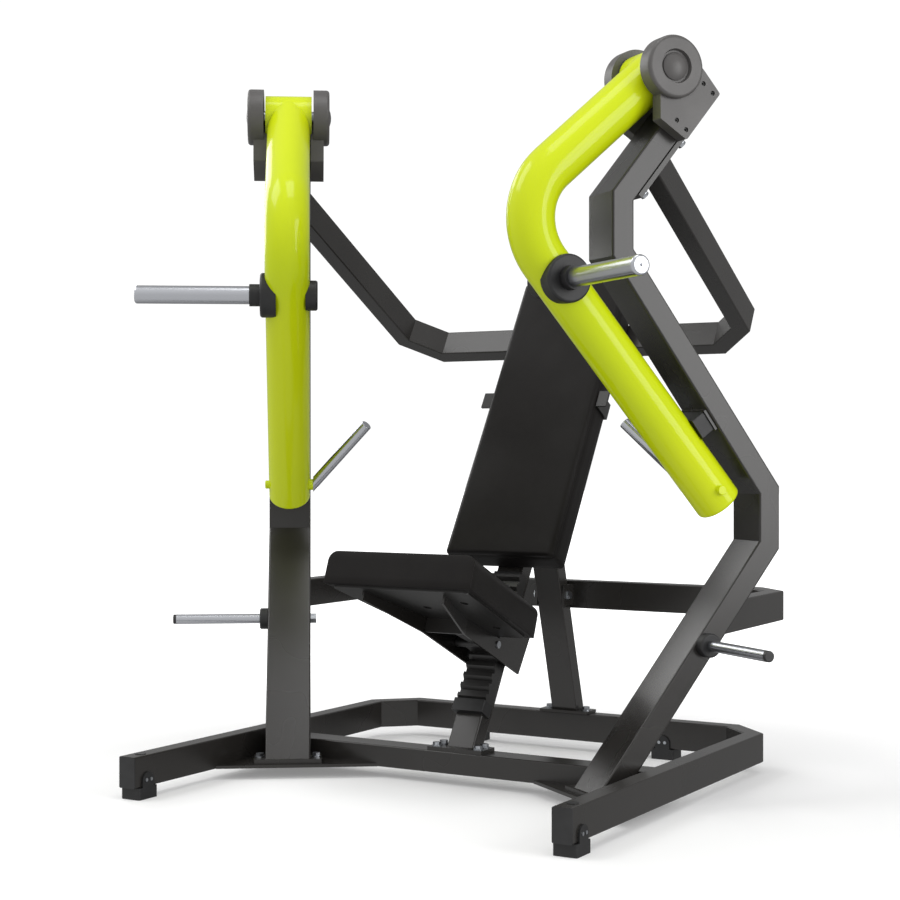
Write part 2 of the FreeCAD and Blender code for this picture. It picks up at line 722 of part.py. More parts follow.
def storage_peg():
    """Round bar with a neck under its collar and a stud through the upright."""
    root = peg_root()
    shoulder = UPRIGHT_SIDE + PEG_COLLAR_THICK + NECK_RELIEF
    bar = cylinder(PEG_RADIUS, root + X * shoulder, X, PEG_TIP - PEG_CAP - shoulder)
    neck = cylinder(PEG_NECK_RADIUS, root + X * UPRIGHT_SIDE, X, shoulder - UPRIGHT_SIDE)
    stud_start = UPRIGHT_SIDE + PEG_NUT_THICK
    stud = cylinder(PEG_STUD_RADIUS, root - X * stud_start, X, stud_start + UPRIGHT_SIDE)
    return bar.fuse([neck, stud])


def storage_peg_tip():
    root = peg_root()
    radius = PEG_RADIUS - PEG_CAP_DROP
    cap = cylinder(radius, root + X * (PEG_TIP - PEG_CAP), X, PEG_CAP)
    return round_edges(cap, 2.5, circle_at(X, PEG_TIP, radius))


def storage_peg_collar():
    root = peg_root()
    ring = cylinder(PEG_COLLAR_RADIUS, root + X * UPRIGHT_SIDE, X, PEG_COLLAR_THICK)
    face = UPRIGHT_SIDE + PEG_COLLAR_THICK
    ring = round_edges(ring, 5.0, circle_at(X, face, PEG_COLLAR_RADIUS))
    return ring.cut(cylinder(PEG_NECK_RADIUS + 0.1, root, X, PEG_TIP))


def storage_peg_nut():
    root = peg_root()
    face = root - X * UPRIGHT_SIDE
    nut = hexagon(PEG_NUT_RADIUS, face - X * PEG_NUT_THICK, X, PEG_NUT_THICK)
    return nut.cut(cylinder(PEG_STUD_RADIUS + RUN_FIT, face - X * 30, X, 60))


def yoke_plate_face():
    """Rear face of the plate bolted behind the top leg, at the leg's elbow."""
    return UPRIGHT_PATH[4] + HEAD_NORMAL * (UPRIGHT_DEPTH / 2 + YOKE_PLATE_THICK)


def yoke_mount_block(thick_from, thick_to):
    foot = UPRIGHT_PATH[4] + HEAD_NORMAL * (UPRIGHT_DEPTH / 2)
    corners = []
    for along, out in ((0, thick_from), (1, thick_from), (1, thick_to), (0, thick_to)):
        step = YOKE_PLATE_SPAN[along]
        corners.append(foot + HEAD_DIRECTION * step + HEAD_NORMAL * out - X * UPRIGHT_SIDE)
    return prism(corners, X * UPRIGHT_WIDTH)


def yoke_bolt_seats():
    face = yoke_plate_face()
    seats = []
    for along in (YOKE_PLATE_SPAN[0] + 18, YOKE_PLATE_SPAN[1] - 18):
        for across in (-1, 1):
            seats.append(face + HEAD_DIRECTION * along + X * (across * (UPRIGHT_SIDE - 16)))
    return seats


def yoke_mount_plate():
    plate = yoke_mount_block(0.0, YOKE_PLATE_THICK)
    for seat in yoke_bolt_seats():
        plate = plate.cut(bolt_hole(seat, HEAD_NORMAL, YOKE_PLATE_THICK))
    return plate


# ---- base ------------------------------------------------------------------------

def chamfered_loop(half_x, rear, cut, front, to_point):
    """A U-shaped path open at the front; the cut is measured on the centreline."""
    flat = [
        (-half_x, front), (-half_x, rear - cut), (cut - half_x, rear),
        (half_x - cut, rear), (half_x, rear - cut), (half_x, front),
    ]
    return [to_point(across, back) for across, back in flat]


def centre_cut(outer_cut, width):
    return outer_cut - width / 2 * (2 - math.sqrt(2))


def foot_at(place):
    """Moulded foot for a rail that runs along local Y: a block with two arched flaps."""
    half = FOOT_LENGTH / 2
    outer = RAIL_WIDTH / 2 + FOOT_FLAP
    block = box((-outer, outer), (-half, half), (0, FOOT_HEIGHT))
    block = round_edges(block, 5.0, parallel_to(Z))
    solids = [block]
    arch = half - 13
    for side in (-1, 1):
        inner_x = side * RAIL_WIDTH / 2
        post = box((0, FOOT_FLAP), (-arch, arch), (FOOT_HEIGHT - 10, FOOT_HEIGHT + FOOT_FLAP_HEIGHT - arch))
        top = cylinder(arch, Vector(0, 0, FOOT_HEIGHT + FOOT_FLAP_HEIGHT - arch), X, FOOT_FLAP)
        flap = post.fuse(top)
        shift = inner_x if side > 0 else inner_x - FOOT_FLAP
        flap.translate(Vector(shift, 0, 0))
        solids.append(flap)
    foot = solids[0].fuse(solids[1:]).removeSplitter()
    for start, direction, length in foot_screw_lines():
        foot = foot.cut(cylinder(2.6, start - direction * 20, direction, length + 21))
    return moved(foot, place)


def moved(shape, place):
    copy = shape.copy()
    copy.Placement = place.multiply(copy.Placement)
    return copy


def foot_screw_lines():
    """Start on the flap's outer face, inward direction and length of each screw."""
    outer = RAIL_WIDTH / 2 + FOOT_FLAP
    height = FOOT_HEIGHT + FOOT_FLAP_HEIGHT / 2
    lines = []
    for side in (-1, 1):
        for along in (-9, 9):
            lines.append((Vector(side * outer, along, height), X * -side, FOOT_FLAP + RAIL_WALL + 6))
    return lines


def foot_places():
    places = []
    for side in (-1, 1):
        places.append(Placement(Vector(side * RAIL_MID_X, FRONT_FOOT_Y, 0), Rotation()))
        places.append(Placement(Vector(side * REAR_FOOT_X, REAR_RAIL_Y, 0), Rotation(Z, 90)))
    return places


def foot_screws(place):
    screws = []
    for start, direction, length in foot_screw_lines():
        head = cylinder(4.5, start - direction * 2.5, direction, 2.5)
        shank = cylinder(2.4, start - direction, direction, length)
        screws.append(moved(head.fuse(shank).removeSplitter(), place))
    return screws


def gusset():
    """Triangular floor plate in the corner of rail and crossbar."""
    corner = Vector(RAIL_INNER_X, CROSSBAR_FRONT, RAIL_BASE)
    points = [corner, corner - X * GUSSET_REACH, corner - Y * GUSSET_DROP]
    plate = prism(points, Z * GUSSET_THICK)
    for seat in upright_base_bolt_seats():
        hole = bolt_hole(seat, Z, BASE_PLATE_THICK + GUSSET_THICK)
        plate = plate.cut(in_plane(hole))
    return plate


def rail_plug(side):
    head = cylinder(PLUG_RADIUS, Vector(side * RAIL_MID_X, PLUG_Y, RAIL_TOP), Z, 1.5)
    stem = cylinder(PLUG_RADIUS - 2, Vector(side * RAIL_MID_X, PLUG_Y, RAIL_TOP - 10), Z, 10)
    return head.fuse(stem).removeSplitter()


def end_cap(centre, across, up, outward, width, height, wall, corner):
    """Plastic plug for an open tube end: a thin lid and a smaller stem."""
    lid = Part.Face(rounded_rectangle(centre, across, up, width, height, corner)).extrude(outward * END_LID)
    inset = 2 * wall + 0.4
    stem = Part.Face(rounded_rectangle(centre, across, up, width - inset, height - inset, 1.0))
    return lid.fuse(stem.extrude(outward * -15))


# ---- spine frame: x across, d back from the spine's front face, h up along it -----

SPINE = Placement(Vector(0, SPINE_FOOT_Y, CROSSBAR_TOP), Rotation(X, -SPINE_LEAN))
SEAT = Placement(Vector(0, SEAT_REAR_Y, SEAT_REAR_Z), Rotation(X, -SEAT_TILT))
YOKE = Placement(Vector(0, YOKE_EDGE_Y, YOKE_EDGE_Z), Rotation(X, -YOKE_SLOPE))


def on_spine(shape):
    return moved(shape, SPINE)


def on_seat(shape):
    return moved(shape, SEAT)


def spine_envelope():
    half = SPINE_WIDTH / 2
    raw = box((-half, half), (0, SPINE_DEPTH), (-60, SPINE_LENGTH))
    raw = on_spine(round_edges(raw, RAIL_CORNER, parallel_to(Z)))
    plate_top = CROSSBAR_TOP + SPINE_PLATE_THICK
    below = box((-200, 200), (SPINE_FOOT_Y - 300, SPINE_FOOT_Y + 300), (plate_top - 300, plate_top))
    above = moved(box((-200, 200), (-400, 200), (0, 400)), YOKE)
    return raw.cut(below).cut(above)


def spine_tube():
    half = SPINE_WIDTH / 2 - RAIL_WALL
    bore = box((-half, half), (RAIL_WALL, SPINE_DEPTH - RAIL_WALL), (-100, SPINE_LENGTH + 10))
    return spine_envelope().cut(on_spine(bore))


def spine_plate():
    half_x = SPINE_PLATE_SIZE[0] / 2
    centre_y = CROSSBAR_FRONT + CROSSBAR_DEPTH / 2
    half_y = SPINE_PLATE_SIZE[1] / 2
    zs = (CROSSBAR_TOP, CROSSBAR_TOP + SPINE_PLATE_THICK)
    plate = box((-half_x, half_x), (centre_y - half_y, centre_y + half_y), zs)
    return round_edges(plate, 4.0, parallel_to(Z))


def spine_bolt_seats():
    reach = (SPINE_PLATE_SIZE[0] + SPINE_WIDTH) / 4 + 1
    centre_y = CROSSBAR_FRONT + CROSSBAR_DEPTH / 2
    top = CROSSBAR_TOP + SPINE_PLATE_THICK
    return [Vector(sx * reach, centre_y + sy * 18, top) for sx in (-1, 1) for sy in (-1, 1)]


def post_path():
    lean = math.radians(POST_LEAN)
    rise = Vector(0, -math.sin(lean), math.cos(lean))
    foot = Vector(0, REAR_RAIL_Y, RAIL_TOP + POST_PLATE_THICK)
    return foot, rise


def post_envelope(inset):
    foot, rise = post_path()
    size = (POST_WIDTH - 2 * inset, POST_DEPTH - 2 * inset)
    corner = max(RAIL_CORNER - inset, 1.0)
    bar = swept([foot - rise * 60, foot + rise * POST_LENGTH], X, size[0], size[1], corner)
    below = box((-200, 200), (foot.y - 300, foot.y + 300), (foot.z - 300, foot.z))
    return bar.cut(below)


def rear_post():
    """Hollow post from the rear rail up to the back of the spine."""
    tube = post_envelope(0).cut(post_envelope(RAIL_WALL))
    pieces = tube.cut(spine_envelope()).Solids
    return min(pieces, key=lambda piece: piece.CenterOfMass.z)


def post_plate():
    half_x = POST_PLATE_WIDTH / 2
    zs = (RAIL_TOP, RAIL_TOP + POST_PLATE_THICK)
    plate = box((-half_x, half_x), (REAR_RAIL_Y - 36, REAR_RAIL_Y + 32), zs)
    return round_edges(plate, 4.0, parallel_to(Z))


def post_bolt_seats():
    reach = (POST_PLATE_WIDTH + POST_WIDTH) / 4
    top = RAIL_TOP + POST_PLATE_THICK
    return [Vector(side * reach, REAR_RAIL_Y, top) for side in (-1, 1)]


def rack_cover():
    """Channel over the spine's front with a ramped rib at each seat height."""
    half = SPINE_WIDTH / 2 + RACK_SKIN
    outline = [Vector(-half, 0, RACK_BASE)]
    count = int((RACK_TOP - RACK_BASE) // RACK_PITCH)
    for rib in range(count):
        base = RACK_BASE + rib * RACK_PITCH
        outline.append(Vector(-half, -RACK_ROOT, base))
        outline.append(Vector(-half, -RACK_RISE, base + RACK_PITCH * 0.3))
        outline.append(Vector(-half, -RACK_RISE, base + RACK_PITCH * 0.62))
        outline.append(Vector(-half, -RACK_ROOT, base + RACK_PITCH * 0.72))
    top = RACK_BASE + count * RACK_PITCH
    outline.append(Vector(-half, -RACK_ROOT, top))
    outline.append(Vector(-half, 0, top))
    ribs = prism(outline, X * (2 * half))
    inner = SPINE_WIDTH / 2
    flange = box((inner, half), (0, RACK_FLANGE), (RACK_BASE, top))
    return on_spine(ribs.fuse([flange, across_plane(flange)]).removeSplitter())


def rack_stop():
    """Block under the rack that the carriage lands on."""
    outer = SPINE_WIDTH / 2 + RACK_SKIN + 3
    inner = SPINE_WIDTH / 2
    zs = (RACK_BASE - RACK_STOP_HEIGHT, RACK_BASE)
    block = box((-outer, outer), (-RACK_STOP_RISE, RACK_FLANGE), zs)
    block = round_edges(block, 3.0, parallel_to(Z))
    return on_spine(block.cut(box((-inner, inner), (0, RACK_FLANGE + 1), (zs[0] - 1, zs[1] + 1))))


# ---- backrest --------------------------------------------------------------------

BOARD_FRONT = -CROSS_PLATE_THICK - BOARD_THICK
BACK_TOP = BACK_BOTTOM + BACK_LENGTH
TAB_HALF = CROSS_PLATE_HEIGHT / 2


def backrest_bolt_points():
    points = []
    for height in (TAB_H, LOWER_PLATE_H):
        for side in (-1, 1):
            points.append(Vector(side * 75, 0, height))
    return points


def backrest_board():
    half = BACK_WIDTH / 2 - BOARD_INSET
    zs = (BACK_BOTTOM + BOARD_INSET, BACK_TOP - BOARD_INSET)
    board = box((-half, half), (BOARD_FRONT, -CROSS_PLATE_THICK), zs)
    board = round_edges(board, 20.0, parallel_to(Y))
    for point in backrest_bolt_points():
        board = board.cut(cylinder(4.2, point, Y * -1, CROSS_PLATE_THICK + BOARD_THICK + 1))
    return on_spine(board)


def backrest_pad():
    """Upholstered cushion; its cover wraps the board's edges."""
    half = BACK_WIDTH / 2
    pad = box((-half, half), (-BACK_THICK, -CROSS_PLATE_THICK - SOFT_GAP), (BACK_BOTTOM, BACK_TOP))
    pad = round_edges(pad, 14.0, parallel_to(Y))
    front = [edge for edge in pad.Edges if edge.BoundBox.YMax < -BACK_THICK + 0.01]
    pad = pad.makeFillet(12.0, front)
    inset = BOARD_INSET - SOFT_GAP
    room = box((inset - half, half - inset), (BOARD_FRONT - SOFT_GAP, 0),
               (BACK_BOTTOM + inset, BACK_TOP - inset))
    return on_spine(pad.cut(room))


def backrest_cross_plates():
    """Upper strap, turned forward past the pad with an ear each side, and a lower strap."""
    zs = (TAB_H - TAB_HALF, TAB_H + TAB_HALF)
    inner = BACK_WIDTH / 2 + SOFT_GAP + 0.5
    outer = inner + 5.0
    upper = box((-outer, outer), (-CROSS_PLATE_THICK, 0), zs)
    cheek = box((inner, outer), (-TAB_FORWARD, 0), zs)
    ear = box((inner, BACK_WIDTH / 2 + TAB_REACH), (-TAB_FORWARD, 5 - TAB_FORWARD), zs)
    ear = round_edges(ear, 2.0, parallel_to(Y))
    upper = upper.fuse([cheek, ear, across_plane(cheek), across_plane(ear)]).removeSplitter()
    low = box((-LOWER_PLATE_HALF, LOWER_PLATE_HALF), (-CROSS_PLATE_THICK, 0),
              (LOWER_PLATE_H - TAB_HALF, LOWER_PLATE_H + TAB_HALF))
    plates = []
    for plate in (upper, low):
        for point in backrest_bolt_points():
            plate = plate.cut(cylinder(4.2, point + Y, Y * -1, CROSS_PLATE_THICK + 2))
        plates.append(on_spine(plate))
    return plates


def backrest_screws():
    """Pan-head screws from behind the straps into the board."""
    screws = []
    for point in backrest_bolt_points():
        head = cylinder(8.0, point, Y, 5.0)
        shank = cylinder(4.0, point, Y * -1, CROSS_PLATE_THICK + BOARD_THICK - 1)
        screws.append(on_spine(head.fuse(shank).removeSplitter()))
    return screws


# ---- seat and carriage -----------------------------------------------------------

PLATE_TOP = -SOFT_GAP
PLATE_BASE = PLATE_TOP - SEAT_PLATE_THICK


def seat_slab(inset, low, high):
    """The seat's tapered outline, drawn in by 'inset', between two heights."""
    rear = SEAT_REAR_WIDTH / 2 - inset
    front = SEAT_FRONT_WIDTH / 2 - inset
    corners = [(-rear, -inset), (rear, -inset), (front, inset - SEAT_DEPTH), (-front, inset - SEAT_DEPTH)]
    return prism([Vector(across, back, low) for across, back in corners], Z * (high - low))


def seat_pad():
    pad = round_edges(seat_slab(0.0, 0.0, SEAT_THICK), 22.0, parallel_to(Z))
    top = [edge for edge in pad.Edges if edge.BoundBox.ZMin > SEAT_THICK - 0.01]
    pad = pad.makeFillet(16.0, top)
    return on_seat(pad.cut(seat_slab(BOARD_INSET - SOFT_GAP, -1.0, BOARD_THICK + SOFT_GAP)))


def seat_board():
    board = seat_slab(BOARD_INSET, PLATE_TOP, BOARD_THICK)
    return on_seat(round_edges(board, 8.0, parallel_to(Z)))


def seat_plate():
    """Pressed steel plate under the seat, pierced for the fixings and for lightness."""
    plate = seat_slab(SEAT_PLATE_INSET, PLATE_BASE, PLATE_TOP)
    plate = round_edges(plate, 18.0, parallel_to(Z))
    for across, back in ((-115, 0.25), (115, 0.25), (-140, 0.75), (140, 0.75), (0, 0.62)):
        at = Vector(across, -SEAT_DEPTH * back, PLATE_BASE - 1)
        plate = plate.cut(cylinder(11.0, at, Z, SEAT_PLATE_THICK + 2))
    return on_seat(plate)


def spine_to_seat(point):
    return SEAT.inverse().multVec(SPINE.multVec(point))


def pawl_centre():
    """The latch's pin in the spine's frame."""
    return SPINE.inverse().multVec(SEAT.multVec(Vector(0, PAWL_PIN_Y, PAWL_PIN_Z)))


def cheek():
    """Side plate of the carriage: flat beside the spine, flared out under the seat."""
    fold_low = Vector(CHEEK_INNER, -CHEEK_FOLD, -46.0)
    fold_top = Vector(CHEEK_INNER, -CHEEK_FOLD, 0.0)
    low = spine_to_seat(Vector(CHEEK_INNER, CHEEK_BACK - 8, 266.0))
    back = spine_to_seat(Vector(CHEEK_INNER, CHEEK_BACK, 378.0))
    top_back = spine_to_seat(Vector(CHEEK_INNER, CHEEK_BACK - 10, CHEEK_TOP_H))
    top_front = spine_to_seat(Vector(CHEEK_INNER, -30.0, CHEEK_TOP_H))
    rear_top = spine_to_seat(Vector(CHEEK_INNER, -56.0, 345.0))
    behind_pad = Vector(CHEEK_INNER, 3.0, 0.0)
    flat = prism([fold_low, low, back, top_back, top_front, rear_top, behind_pad, fold_top], X * CHEEK_THICK)
    flat = flat.cut(box((0, 200), (-SEAT_DEPTH, 2.0), (PLATE_BASE, 200)))
    hinge = [fold_low, Vector(CHEEK_INNER, -CHEEK_FOLD, PLATE_BASE)]
    tip = [Vector(CHEEK_FLARE_X, -CHEEK_FLARE, -27.0), Vector(CHEEK_FLARE_X, -CHEEK_FLARE, PLATE_BASE)]
    sections = []
    for bottom, top in (hinge, tip):
        ring = [bottom, bottom + X * CHEEK_THICK, top + X * CHEEK_THICK, top]
        sections.append(Part.makePolygon(ring + [ring[0]]))
    flare = Part.makeLoft(sections, True, True)
    plate = on_seat(flat.fuse(flare).removeSplitter())
    return plate.cut(on_spine(cylinder(PAWL_PIN_RADIUS + RUN_FIT, pawl_centre(), X, 200)))


def carriage_ties():
    """Front tie under the seat, rear tie over the gas spring."""
    front = on_seat(box((-CHEEK_INNER, CHEEK_INNER), (4 - CHEEK_FOLD, 4 - CHEEK_FOLD + TIE_THICK),
                        (PLATE_BASE - 38, PLATE_BASE)))
    rear = box((-CHEEK_INNER, CHEEK_INNER), (SPINE_DEPTH + 8, CHEEK_BACK - 7), (GAS_TOP, GAS_TOP + 8))
    return [front, on_spine(rear)]


def carriage_glides():
    """Plastic runners inside one cheek: beside the rack, over its ribs and behind the spine."""
    beside = (SPINE_WIDTH / 2 + RACK_SKIN + 0.1, CHEEK_INNER)
    overlap = (SPINE_WIDTH / 2 - 12, CHEEK_INNER)
    in_front = (-RACK_RISE - 0.1 - GLIDE_THICK, -RACK_RISE - 0.1)
    behind = (SPINE_DEPTH + 0.1, SPINE_DEPTH + 0.1 + GLIDE_THICK)
    glides = [box(overlap, in_front, (332.0, 332.0 + GLIDE_LENGTH))]
    for low in (275.0, 345.0):
        glides.append(box(beside, (2, RACK_FLANGE - 2), (low, low + GLIDE_LENGTH)))
        glides.append(box(overlap, behind, (low, low + GLIDE_LENGTH - 8)))
    return [on_spine(glide) for glide in glides]


def gas_cylinder():
    axis_foot = Vector(0, GAS_DEPTH, GAS_BASE)
    body = cylinder(GAS_RADIUS, axis_foot, Z, GAS_TOP - GAS_BASE)
    room = GAS_TOP - GAS_BASE - GAS_GLAND - GAS_WALL_END
    bore = cylinder(GAS_BORE, axis_foot + Z * GAS_GLAND, Z, room)
    gland = cylinder(GAS_ROD_RADIUS + RUN_FIT, axis_foot - Z, Z, GAS_GLAND + 2)
    return on_spine(body.cut(bore).cut(gland))


def gas_rod():
    foot = Vector(0, GAS_DEPTH, GAS_BRACKET[1])
    rod = cylinder(GAS_ROD_RADIUS, foot, Z, GAS_ROD_TOP - GAS_BRACKET[1])
    piston = cylinder(GAS_BORE - RUN_FIT, Vector(0, GAS_DEPTH, GAS_ROD_TOP - GAS_PISTON), Z, GAS_PISTON)
    return on_spine(rod.fuse(piston).removeSplitter())


def gas_bracket():
    block = box((-15, 15), (SPINE_DEPTH, GAS_DEPTH + 15), GAS_BRACKET)
    return on_spine(round_edges(block, 4.0, parallel_to(X)))


def seat_pawl():
    """Latch: its nose points at the rack, its lever runs forward under the seat."""
    pin = pawl_centre()
    half = CHEEK_INNER - 1.0
    eye = cylinder(PAWL_EYE_RADIUS, pin - X * half, X, 2 * half)
    tip = -RACK_RISE - PAWL_CLEAR
    outline = [(pin.y, pin.z - 11), (tip, pin.z - 7), (tip, pin.z - 1), (pin.y, pin.z + 11)]
    corners = [Vector(-PAWL_HALF_WIDTH, depth, height) for depth, height in outline]
    nose = prism(corners, X * (2 * PAWL_HALF_WIDTH))
    pawl = on_spine(eye.fuse(nose))
    lever = box((-10, 10), (PAWL_PIN_Y - PAWL_LEVER, PAWL_PIN_Y), (PAWL_PIN_Z - 4, PAWL_PIN_Z + 4))
    pawl = pawl.fuse(on_seat(lever)).removeSplitter()
    return pawl.cut(on_spine(cylinder(PAWL_PIN_RADIUS + RUN_FIT, pin - X * 100, X, 200)))


def pawl_pin():
    reach = CHEEK_INNER + CHEEK_THICK
    pin = pawl_centre()
    shaft = cylinder(PAWL_PIN_RADIUS, pin - X * reach, X, 2 * reach)
    heads = [cylinder(PAWL_PIN_RADIUS + 4, pin + X * reach, X, 4),
             cylinder(PAWL_PIN_RADIUS + 4, pin - X * (reach + 4), X, 4)]
    return on_spine(shaft.fuse(heads).removeSplitter())


# ---- mid frame and yoke ----------------------------------------------------------

def mid_point(across, back):
    return Vector(across, back, MID_Z)


def yoke_point(across, forward):
    """A point of the yoke's middle plane, 'forward' up the slope from its cross member."""
    return YOKE.multVec(Vector(across, -RAIL_WIDTH / 2 - forward, RAIL_HEIGHT / 2))


def mid_frame(uprights):
    half = MID_HALF_WIDTH - RAIL_WIDTH / 2
    path = chamfered_loop(half, MID_REAR - RAIL_WIDTH / 2, centre_cut(MID_CUT, RAIL_WIDTH),
                          PIVOT_Y + 100, mid_point)
    tube = rect_tube(path, Z, RAIL_HEIGHT, RAIL_WIDTH, RAIL_WALL, RAIL_CORNER)[1]
    return largest(tube.cut(uprights[0]).cut(uprights[1]))


def rear_yoke(obstacles):
    half = YOKE_HALF_WIDTH - RAIL_WIDTH / 2
    cut = centre_cut(YOKE_CUT, RAIL_WIDTH)
    flat = [(-half, 900), (-half, cut), (cut - half, 0), (half - cut, 0), (half, cut), (half, 900)]
    path = [yoke_point(across, forward) for across, forward in flat]
    normal = YOKE.Rotation.multVec(Z)
    tube = rect_tube(path, normal, RAIL_HEIGHT, RAIL_WIDTH, RAIL_WALL, RAIL_CORNER)[1]
    for obstacle in obstacles:
        tube = tube.cut(obstacle)
    return largest(tube)


def mid_bolt_centre():
    """Where the through bolt crosses the post, level with the mid frame."""
    foot = post_path()[0]
    lean = math.tan(math.radians(POST_LEAN))
    return Vector(0, REAR_RAIL_Y - (MID_Z - foot.z) * lean, MID_Z)


def mid_bolt_line(room):
    return cylinder(BOLT_RADIUS + room, mid_bolt_centre() - X * 100, X, 200)


def mid_lugs():
    """Ears on the mid frame's cross member, one against each side of the post."""
    front = mid_bolt_centre().y - LUG_REACH
    lugs = []
    for side in (-1, 1):
        inner = side * POST_WIDTH / 2
        outer = side * (POST_WIDTH / 2 + LUG_THICK)
        xs = (min(inner, outer), max(inner, outer))
        zs = (MID_Z - LUG_HALF_HEIGHT, MID_Z + LUG_HALF_HEIGHT)
        lug = box(xs, (front, MID_REAR - RAIL_WIDTH), zs)
        lugs.append(lug.cut(mid_bolt_line(BOLT_HOLE - BOLT_RADIUS)))
    return lugs


def mid_bolts():
    """One through bolt with a head at one end and a nut at the other."""
    centre = mid_bolt_centre()
    face = POST_WIDTH / 2 + LUG_THICK
    bolt = hex_bolt(centre + X * face, X, 2 * face + MID_NUT_THICK + 1)
    nut = hexagon(BOLT_HEAD, centre - X * (face + MID_NUT_THICK), X, MID_NUT_THICK)
    return bolt + [nut.cut(mid_bolt_line(RUN_FIT))]


# ---- assembly --------------------------------------------------------------------

def footprint_middle():
    """Half way between the rails' end lids and the rearmost point of the machine."""
    yoke_rear = YOKE.multVec(Vector(0, 0, RAIL_HEIGHT)).y
    pad_rear = SPINE.multVec(Vector(0, -CROSS_PLATE_THICK - SOFT_GAP, BACK_TOP)).y
    return (max(BASE_LENGTH, yoke_rear, pad_rear) - END_LID) / 2


def export(name, shapes):
    shift = Vector(0, -footprint_middle(), 0)
    solids = []
    for shape in shapes:
        centred = shape.copy()
        centred.translate(shift)
        solids.extend(centred.Solids)
    for number, solid in enumerate(solids):
        if not solid.isValid() or solid.Volume <= 0:
            raise ValueError(name + " solid " + str(number) + " is not sound")
    result = solids[0] if len(solids) == 1 else Part.makeCompound(solids)
    result.exportStep("parts/" + name + ".step")


def build_base():
    loop = chamfered_loop(RAIL_MID_X, REAR_RAIL_Y, centre_cut(CORNER_CUT, RAIL_WIDTH), 0.0,
                          lambda across, back: Vector(across, back, RAIL_BASE + RAIL_HEIGHT / 2))
    base = rect_tube(loop, Z, RAIL_HEIGHT, RAIL_WIDTH, RAIL_WALL, RAIL_CORNER)[1]
    for side in (-1, 1):
        plug_hole = cylinder(PLUG_RADIUS - 1.8, Vector(side * RAIL_MID_X, PLUG_Y, RAIL_TOP - 10), Z, 20)
        base = base.cut(plug_hole)
    for place in foot_places():
        for start, direction, length in foot_screw_lines():
            base = base.cut(moved(cylinder(2.6, start, direction, length), place))
    for seat in post_bolt_seats():
        base = base.cut(bolt_hole(seat, Z, 30))
    export("base_loop", [base])

    crossbar_path = [Vector(side * RAIL_INNER_X, CROSSBAR_FRONT + CROSSBAR_DEPTH / 2,
                            RAIL_BASE + CROSSBAR_HEIGHT / 2) for side in (-1, 1)]
    crossbar = rect_tube(crossbar_path, Z, CROSSBAR_HEIGHT, CROSSBAR_DEPTH, RAIL_WALL, RAIL_CORNER)[1]
    for seat in spine_bolt_seats():
        crossbar = crossbar.cut(bolt_hole(seat, Z, 30))
    export("base_crossbar", [crossbar])
    export("base_gussets", both_sides([gusset()]))
    export("rail_top_plugs", [rail_plug(-1), rail_plug(1)])
    export("floor_feet", [foot_at(place) for place in foot_places()])
    screws = []
    for place in foot_places():
        screws.extend(foot_screws(place))
    export("foot_screws", screws)


def build_uprights():
    envelope, tube = upright_shapes()
    for hole in upright_drillings():
        tube = tube.cut(hole)
    right = in_plane(tube)
    export("right_upright", [right])
    export("left_upright", [mirrored(right)])

    spine_plate_drilled = spine_plate()
    for seat in spine_bolt_seats():
        spine_plate_drilled = spine_plate_drilled.cut(bolt_hole(seat, Z, SPINE_PLATE_THICK))
    post_plate_drilled = post_plate()
    for seat in post_bolt_seats():
        post_plate_drilled = post_plate_drilled.cut(bolt_hole(seat, Z, POST_PLATE_THICK))
    plates = both_sides([in_plane(upright_base_plate())])
    export("tube_base_plates", plates + [spine_plate_drilled, post_plate_drilled])

    bolts = []
    for seat in upright_base_bolt_seats():
        for piece in hex_bolt(seat, Z, BASE_PLATE_THICK + GUSSET_THICK + 6):
            bolts.extend(both_sides([in_plane(piece)]))
    for seat in spine_bolt_seats():
        bolts.extend(hex_bolt(seat, Z, SPINE_PLATE_THICK + 14))
    for seat in post_bolt_seats():
        bolts.extend(hex_bolt(seat, Z, POST_PLATE_THICK + 14))
    export("base_plate_bolts", bolts)

    rail_cap = end_cap(Vector(RAIL_MID_X, 0, RAIL_BASE + RAIL_HEIGHT / 2), X, Z, Y * -1,
                       RAIL_WIDTH, RAIL_HEIGHT, RAIL_WALL, RAIL_CORNER)
    export("tube_end_caps", both_sides([rail_cap, in_plane(upright_end_cap())]))
    return in_plane(envelope)


def build_pivots():
    outer = pivot_bracket()
    pair = [in_plane(outer), in_plane(across_plane(outer))]
    export("right_pivot_brackets", pair)
    export("left_pivot_brackets", [mirrored(piece) for piece in pair])
    screws = []
    for screw in tail_screws():
        screws.extend([in_plane(screw), in_plane(across_plane(screw))])
    export("pivot_bracket_screws", both_sides(screws))
    export("pivot_shafts", both_sides([in_plane(pivot_shaft())]))
    cap = pivot_cap()
    export("pivot_end_caps", both_sides([in_plane(cap), in_plane(across_plane(cap))]))
    spacer = pivot_spacer()
    export("pivot_spacers", both_sides([in_plane(spacer), in_plane(across_plane(spacer))]))


def build_arms():
    room = arm_sweep(ARM_RADIUS + SOFT_GAP, ARM_END)
    bearing = hub_bearing()
    pieces = {
        "arm": [lever_arm()],
        "hub_bearings": [bearing, across_plane(bearing)],
        "plate_horn": [plate_horn()],
        "horn_collar": [horn_collar(room)],
        "horn_stud_cover": [inner_boss(room)],
        "handle": [handle_bar()],
    }
    for name, shapes in pieces.items():
        placed = [in_plane(shape) for shape in shapes]
        export("right_" + name, placed)
        export("left_" + name, [mirrored(shape) for shape in placed])
    export("arm_stop_plates", both_sides([in_plane(stop_bracket())]))
    export("arm_stop_buffers", both_sides([in_plane(stop_buffer(room))]))


